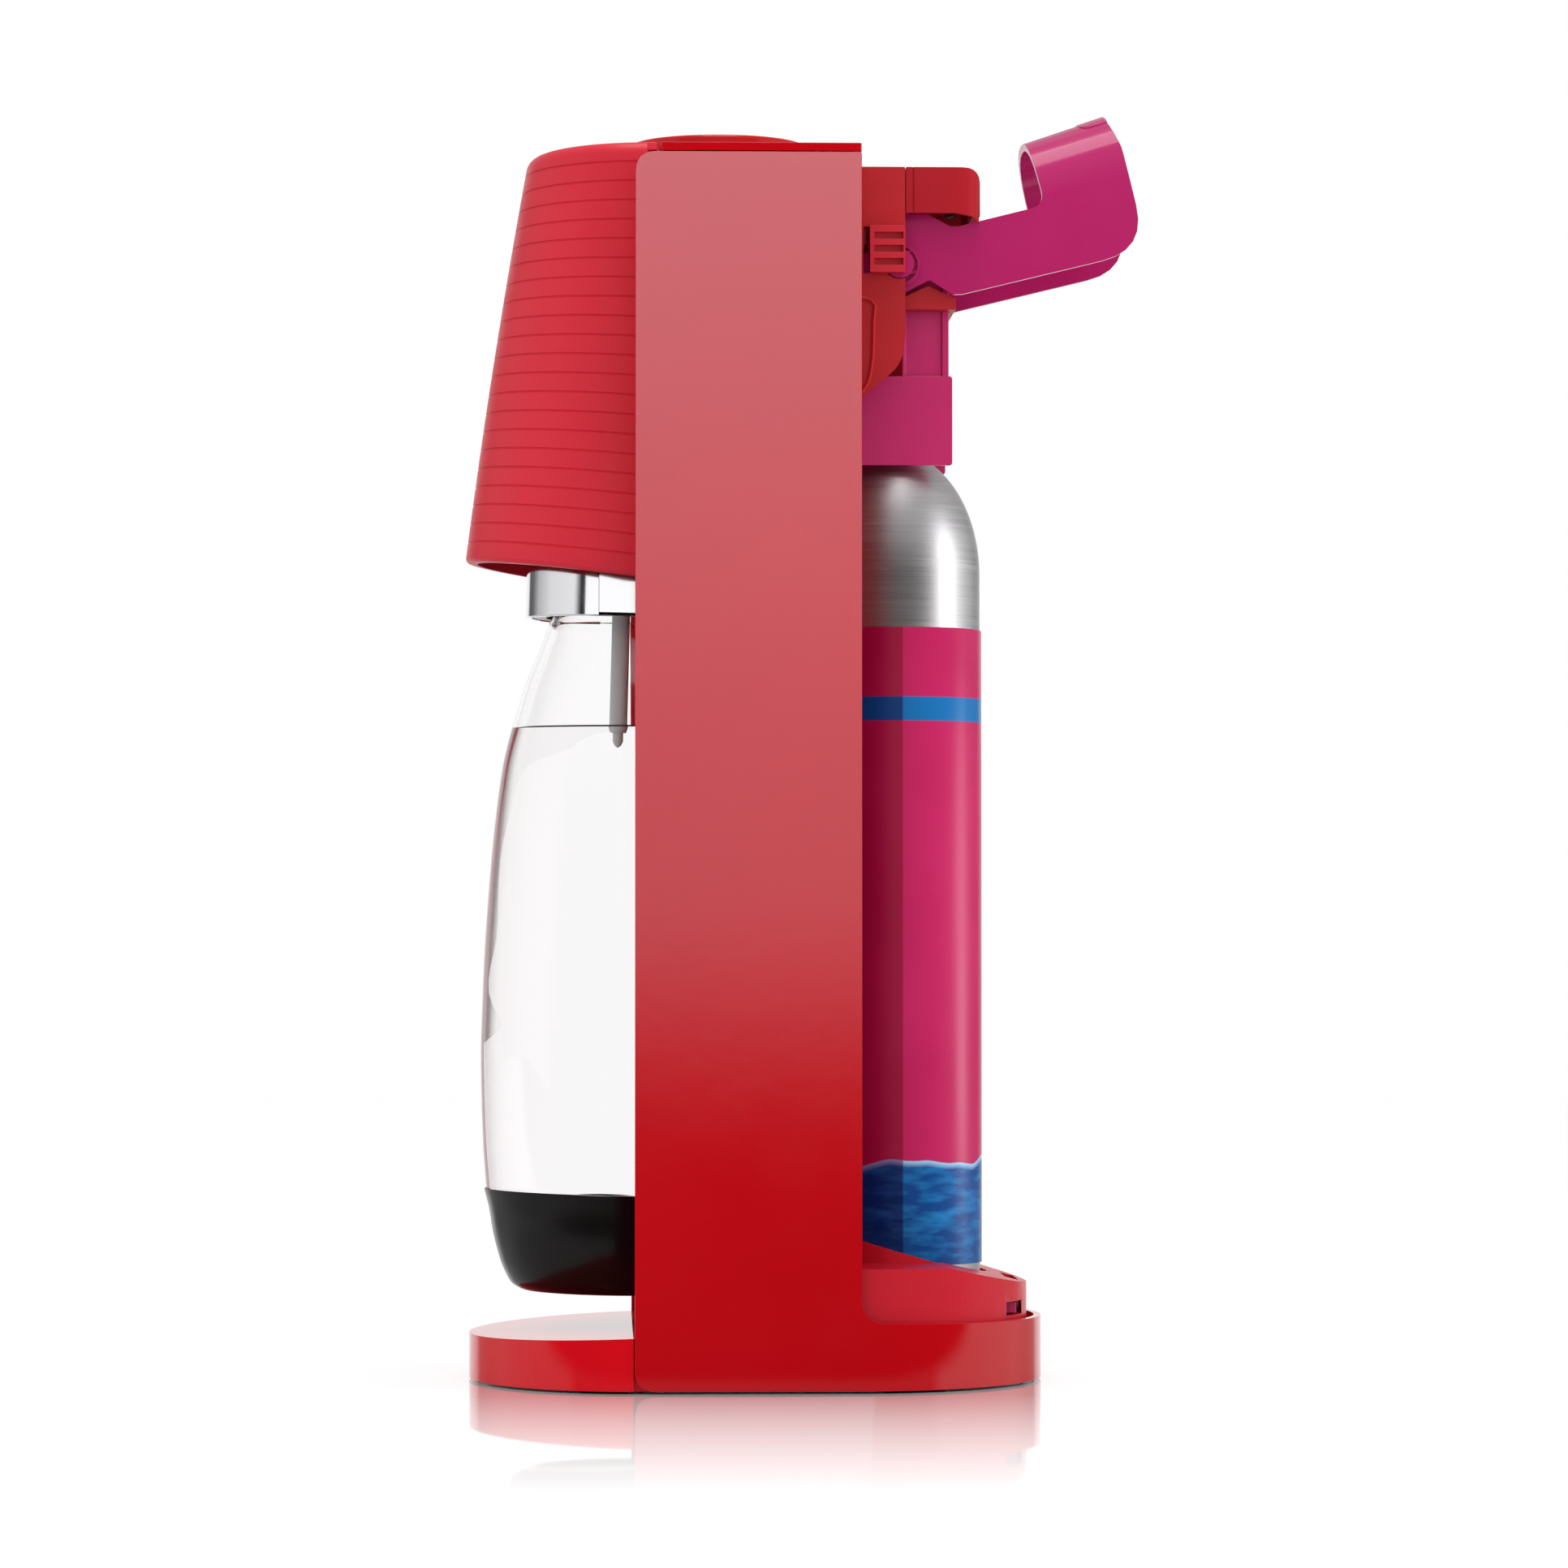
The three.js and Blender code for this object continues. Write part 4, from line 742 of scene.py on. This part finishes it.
# ------------------------------------------------------------------ gas cylinder and its label
def make_cylinder():
    radius, neck, shoulder, dome = 29.7, 11.5, 277.0, 43.0
    low = CYLINDER_LOW.z / MM
    profile = [(0, low + 3), (14, low + 2), (22, low)]
    profile += [(25.7 + 4 * sin(pi / 2 * i / 6), low + 4 - 4 * cos(pi / 2 * i / 6)) for i in range(7)]
    reach = acos(neck / radius)
    for i in range(25):
        angle = reach * i / 24
        profile.append((radius * cos(angle), shoulder + dome * sin(angle)))
    top = CYLINDER_HIGH.z / MM
    profile += [(neck, top), (0, top)]
    piece = lathe("gas_cylinder_body", millimetres(profile), ALUMINIUM,
                  Matrix.Translation((0, CYLINDER.y, 0)), 128, 40)
    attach(piece, "cylinder")
    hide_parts("gas_cylinder")
    return piece


def make_label():
    """Thin film sleeve round the cylinder."""
    inner, outer = 29.85, 30.3
    low, high = LABEL_LOW.z / MM, LABEL_HIGH.z / MM
    profile = [(inner, low), (outer, low), (outer, high - 0.3), (outer - 0.2, high), (inner, high)]
    placing = Matrix.Translation((0, CYLINDER.y, 0))
    piece = lathe("label_sleeve", millimetres(profile), LABEL, placing, 128, 40)
    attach(piece, "cylinder")
    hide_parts("cylinder_label")
    return piece


# ------------------------------------------------------------------ button and its ring
def arc_profile(centre, radius, start, end, steps):
    return [(centre[0] + radius * cos(start + (end - start) * i / steps),
             centre[1] + radius * sin(start + (end - start) * i / steps)) for i in range(steps + 1)]


def make_button_ring():
    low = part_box("button_ring")[0].z / MM
    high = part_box("button_ring")[1].z / MM
    profile = [(25.2, low), (32.8, low)] + spline([(32.8, low), (31.2, low + 2.6), (30.4, high - 2)], 4)[1:]
    profile += arc_profile((29.2, high - 1.2), 1.2, 0, pi / 2, 5)
    profile += arc_profile((26.2, high - 1.0), 1.0, pi / 2, pi, 5)
    piece = lathe("button_ring_smooth", millimetres(profile), RED_GLOSS,
                  Matrix.Translation((0, BUTTON.y, 0)), 96, 40)
    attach(piece, "root")
    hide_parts("button_ring")


def make_button():
    low, high = (corner.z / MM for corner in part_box("carbonation_button"))
    stem_foot = low + 0.5
    profile = [(0, stem_foot), (3.6, stem_foot), (3.6, high - 2.9)]
    profile += [(22.6, high - 2.9), (22.6, high - 6.5), (24.7, high - 6.5)]
    profile += arc_profile((23.2, high - 1.5), 1.5, 0, pi / 2, 6)
    profile += [(18, high - 0.4), (10, high - 1.0), (0, high - 1.3)]
    piece = lathe("button_cap", millimetres(profile), RED_GLOSS, Matrix.Translation((0, BUTTON.y, 0)), 96, 40)
    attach(piece, "button")
    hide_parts("carbonation_button")


# ------------------------------------------------------------------ stage, light and camera
def make_floor():
    mesh = bpy.data.meshes.new("floor")
    near, far, side = 0.66, -3.5, 3.5
    mesh.from_pydata([(near, -side, 0), (near, side, 0), (far, side, 0), (far, -side, 0)], [], [(0, 1, 2, 3)])
    floor = bpy.data.objects.new("floor", mesh)
    bpy.context.scene.collection.objects.link(floor)
    mesh.materials.append(floor_material())


def set_ramp(node, stops):
    """Greys at positions from 0 to 1."""
    elements = node.color_ramp.elements
    while len(elements) < len(stops):
        elements.new(1.0)
    for element, (position, shade) in zip(elements, stops):
        element.position = position
        element.color = (shade, shade, shade, 1)


def make_world():
    """White all round. Gloss and glass see darker walls beside and behind the camera, low down."""
    world = bpy.data.worlds.new("studio")
    bpy.context.scene.world = world
    world.use_nodes = True
    tree = world.node_tree
    background = tree.nodes["Background"]
    coords = tree.nodes.new("ShaderNodeTexCoord")
    split = tree.nodes.new("ShaderNodeSeparateXYZ")
    path = tree.nodes.new("ShaderNodeLightPath")
    tree.links.new(coords.outputs["Generated"], split.inputs[0])

    def ranged(source, low, high, first, second):
        node = tree.nodes.new("ShaderNodeMapRange")
        node.interpolation_type = "SMOOTHSTEP"
        node.inputs["From Min"].default_value = low
        node.inputs["From Max"].default_value = high
        node.inputs["To Min"].default_value = first
        node.inputs["To Max"].default_value = second
        tree.links.new(source, node.inputs["Value"])
        return node.outputs["Result"]

    def blend(factor, first, second):
        """A number between first and second: each a number or another node's output."""
        node = tree.nodes.new("ShaderNodeMix")
        for socket, value in zip((node.inputs[0], node.inputs[2], node.inputs[3]), (factor, first, second)):
            if isinstance(value, bpy.types.NodeSocket):
                tree.links.new(value, socket)
            else:
                socket.default_value = value
        return node.outputs[0]

    walls = tree.nodes.new("ShaderNodeValToRGB")
    tree.links.new(ranged(split.outputs["X"], -1.0, 1.0, 0.0, 1.0), walls.inputs["Fac"])
    stops = [(0.0, 1.0), (0.008, 1.0), (0.02, 0.12), (0.06, 0.15), (0.16, 0.55), (0.42, 0.85),
             (0.85, 0.95), (0.91, 0.02)]
    set_ramp(walls, stops)
    mirrored = blend(ranged(split.outputs["Z"], 0.16, 0.36, 0.0, 1.0), walls.outputs["Color"], 0.45)
    through = ranged(split.outputs["X"], -0.65, -0.35, 1.05, 0.05)
    seen = blend(path.outputs["Is Glossy Ray"], 1.0, mirrored)
    strength = blend(path.outputs["Is Transmission Ray"], seen, through)
    tree.links.new(strength, background.inputs["Strength"])
    background.inputs["Color"].default_value = (1, 1, 1, 1)


def softbox(name, place, aim, size, power, colour=(1, 1, 1), receivers=(), profile=(), mirrored=True):
    """A soft rectangular light. With receivers it is only mirrored in those pieces, and mirrored=False
    keeps it out of every mirror image. The profile gives its strength from lower edge to upper edge."""
    data = bpy.data.lights.new(name, "AREA")
    data.color = colour
    data.shape = "RECTANGLE"
    data.size, data.size_y = size
    data.energy = power
    lamp = bpy.data.objects.new(name, data)
    lamp.location = place
    lamp.rotation_euler = (Vector(aim) - Vector(place)).to_track_quat("-Z", "Y").to_euler()
    bpy.context.scene.collection.objects.link(lamp)
    lamp.visible_glossy = mirrored
    lamp.visible_diffuse = not receivers
    if receivers:
        lit = bpy.data.collections.new(name + "_receivers")
        for piece in receivers:
            lit.objects.link(piece)
        lamp.light_linking.receiver_collection = lit
    if profile:
        data.use_nodes = True
        tree = data.node_tree
        surface = tree.nodes.new("ShaderNodeNewGeometry")
        split = tree.nodes.new("ShaderNodeSeparateXYZ")
        ramp = tree.nodes.new("ShaderNodeValToRGB")
        tree.links.new(surface.outputs["Parametric"], split.inputs["Vector"])
        tree.links.new(split.outputs["Y"], ramp.inputs["Fac"])
        set_ramp(ramp, profile)
        tree.links.new(ramp.outputs["Color"], tree.nodes["Emission"].inputs["Strength"])


def make_camera():
    """Level with the lower third of the object, almost two metres to its right, looking slightly up."""
    data = bpy.data.cameras.new("camera")
    data.lens = 133.99
    data.sensor_width = 36
    camera = bpy.data.objects.new("camera", data)
    camera.location = (2.0166, -0.0734, 0.1505)
    yaw, pitch = radians(1.942), radians(1.540)
    view = Vector((-cos(pitch) * cos(yaw), cos(pitch) * sin(yaw), sin(pitch)))
    camera.rotation_euler = view.to_track_quat("-Z", "Y").to_euler()
    bpy.context.scene.collection.objects.link(camera)
    bpy.context.scene.camera = camera


# ------------------------------------------------------------------ assembly of the scene
bpy.context.scene.view_settings.view_transform = "Standard"
make_camera()
make_world()
make_floor()

CAD_FINISHES = {
    RED_GLOSS: ["side_panel_right", "side_panel_left", "top_cover"],
    RED_GLOSS_LIT: ["base"],
    RED_MOULDED_SHADED: ["rear_cap"],
    RED_MOULDED_LIT: ["cylinder_tray"],
    RED_INNER: ["chassis", "lever_bracket", "carrier_guide", "valve_body"],
    RED_SATIN: ["cover_catch_right", "cover_catch_left"],
    PINK: ["quick_connect_lever", "cylinder_valve"],
    # The cover latch takes the brighter pink as painted light.
    PINK_BRIGHT: ["valve_carrier", "cover_latch"],
    BLACK: ["bottom_cover", "collar_liner", "carbonation_head"],
    RUBBER: ["rubber_foot_1", "rubber_foot_2", "rubber_foot_3", "rubber_foot_4", "mouth_seal"],
    GREY: ["actuator_lever"],
    HOSE: ["gas_hose"],
    CHROME: ["collar_rear"],
    STEEL: ["base_screw_1", "base_screw_2", "base_screw_3", "base_screw_4", "button_spring", "actuator_pin",
            "valve_pin", "holder_pin_right", "holder_pin_left"],
    BRASS: ["relief_valve"],
    NOZZLE: ["nozzle", "nozzle_tip"],
}
for material, nodes in CAD_FINISHES.items():
    for node in nodes:
        finish_node(node, material)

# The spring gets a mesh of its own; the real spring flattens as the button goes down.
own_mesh(frame["nodes"]["button_spring"])

make_shroud()
make_shroud_flanges()
make_bottle()
make_water()
make_water_line_shade()
make_cup()
collar_front = make_collar()
cylinder = make_cylinder()
label = make_label()
make_button_ring()
make_button()

PANELS = [frame["nodes"][node] for node in ("side_panel_right", "side_panel_left")]
COLLAR = [frame["nodes"]["collar_rear"], collar_front]
RISING = [(0.044, 0.0), (0.082, 0.12), (0.155, 0.47), (0.25, 0.53), (0.56, 1.0)]
COOL = (0.60, 1.0, 1.12)
softbox("side_softbox", place=(3.4, -0.1, 0.8), aim=(0, -0.1, 0.8), size=(1.6, 1.8), power=36,
        colour=COOL, receivers=PANELS, profile=RISING)
softbox("collar_softbox", place=(2.6, -0.1, 0.5), aim=(0, -0.1, 0.3), size=(5.0, 1.0), power=19,
        receivers=COLLAR)
softbox("label_softbox", place=(-0.25, 2.25, 0.3), aim=(0, 0.03, 0.16), size=(0.7, 1.4), power=20,
        receivers=[label])
softbox("cylinder_softbox", place=(0.7, 2.2, 0.5), aim=(0, 0.03, 0.2), size=(0.5, 1.6), power=20,
        receivers=[cylinder])
softbox("rear_softbox", place=(0.7, 2.2, 0.5), aim=(0, 0.03, 0.2), size=(0.5, 1.6), power=14,
        mirrored=False)
softbox("top_softbox", place=(0.25, 0.0, 2.2), aim=(0, 0, 0), size=(0.9, 1.6), power=15)
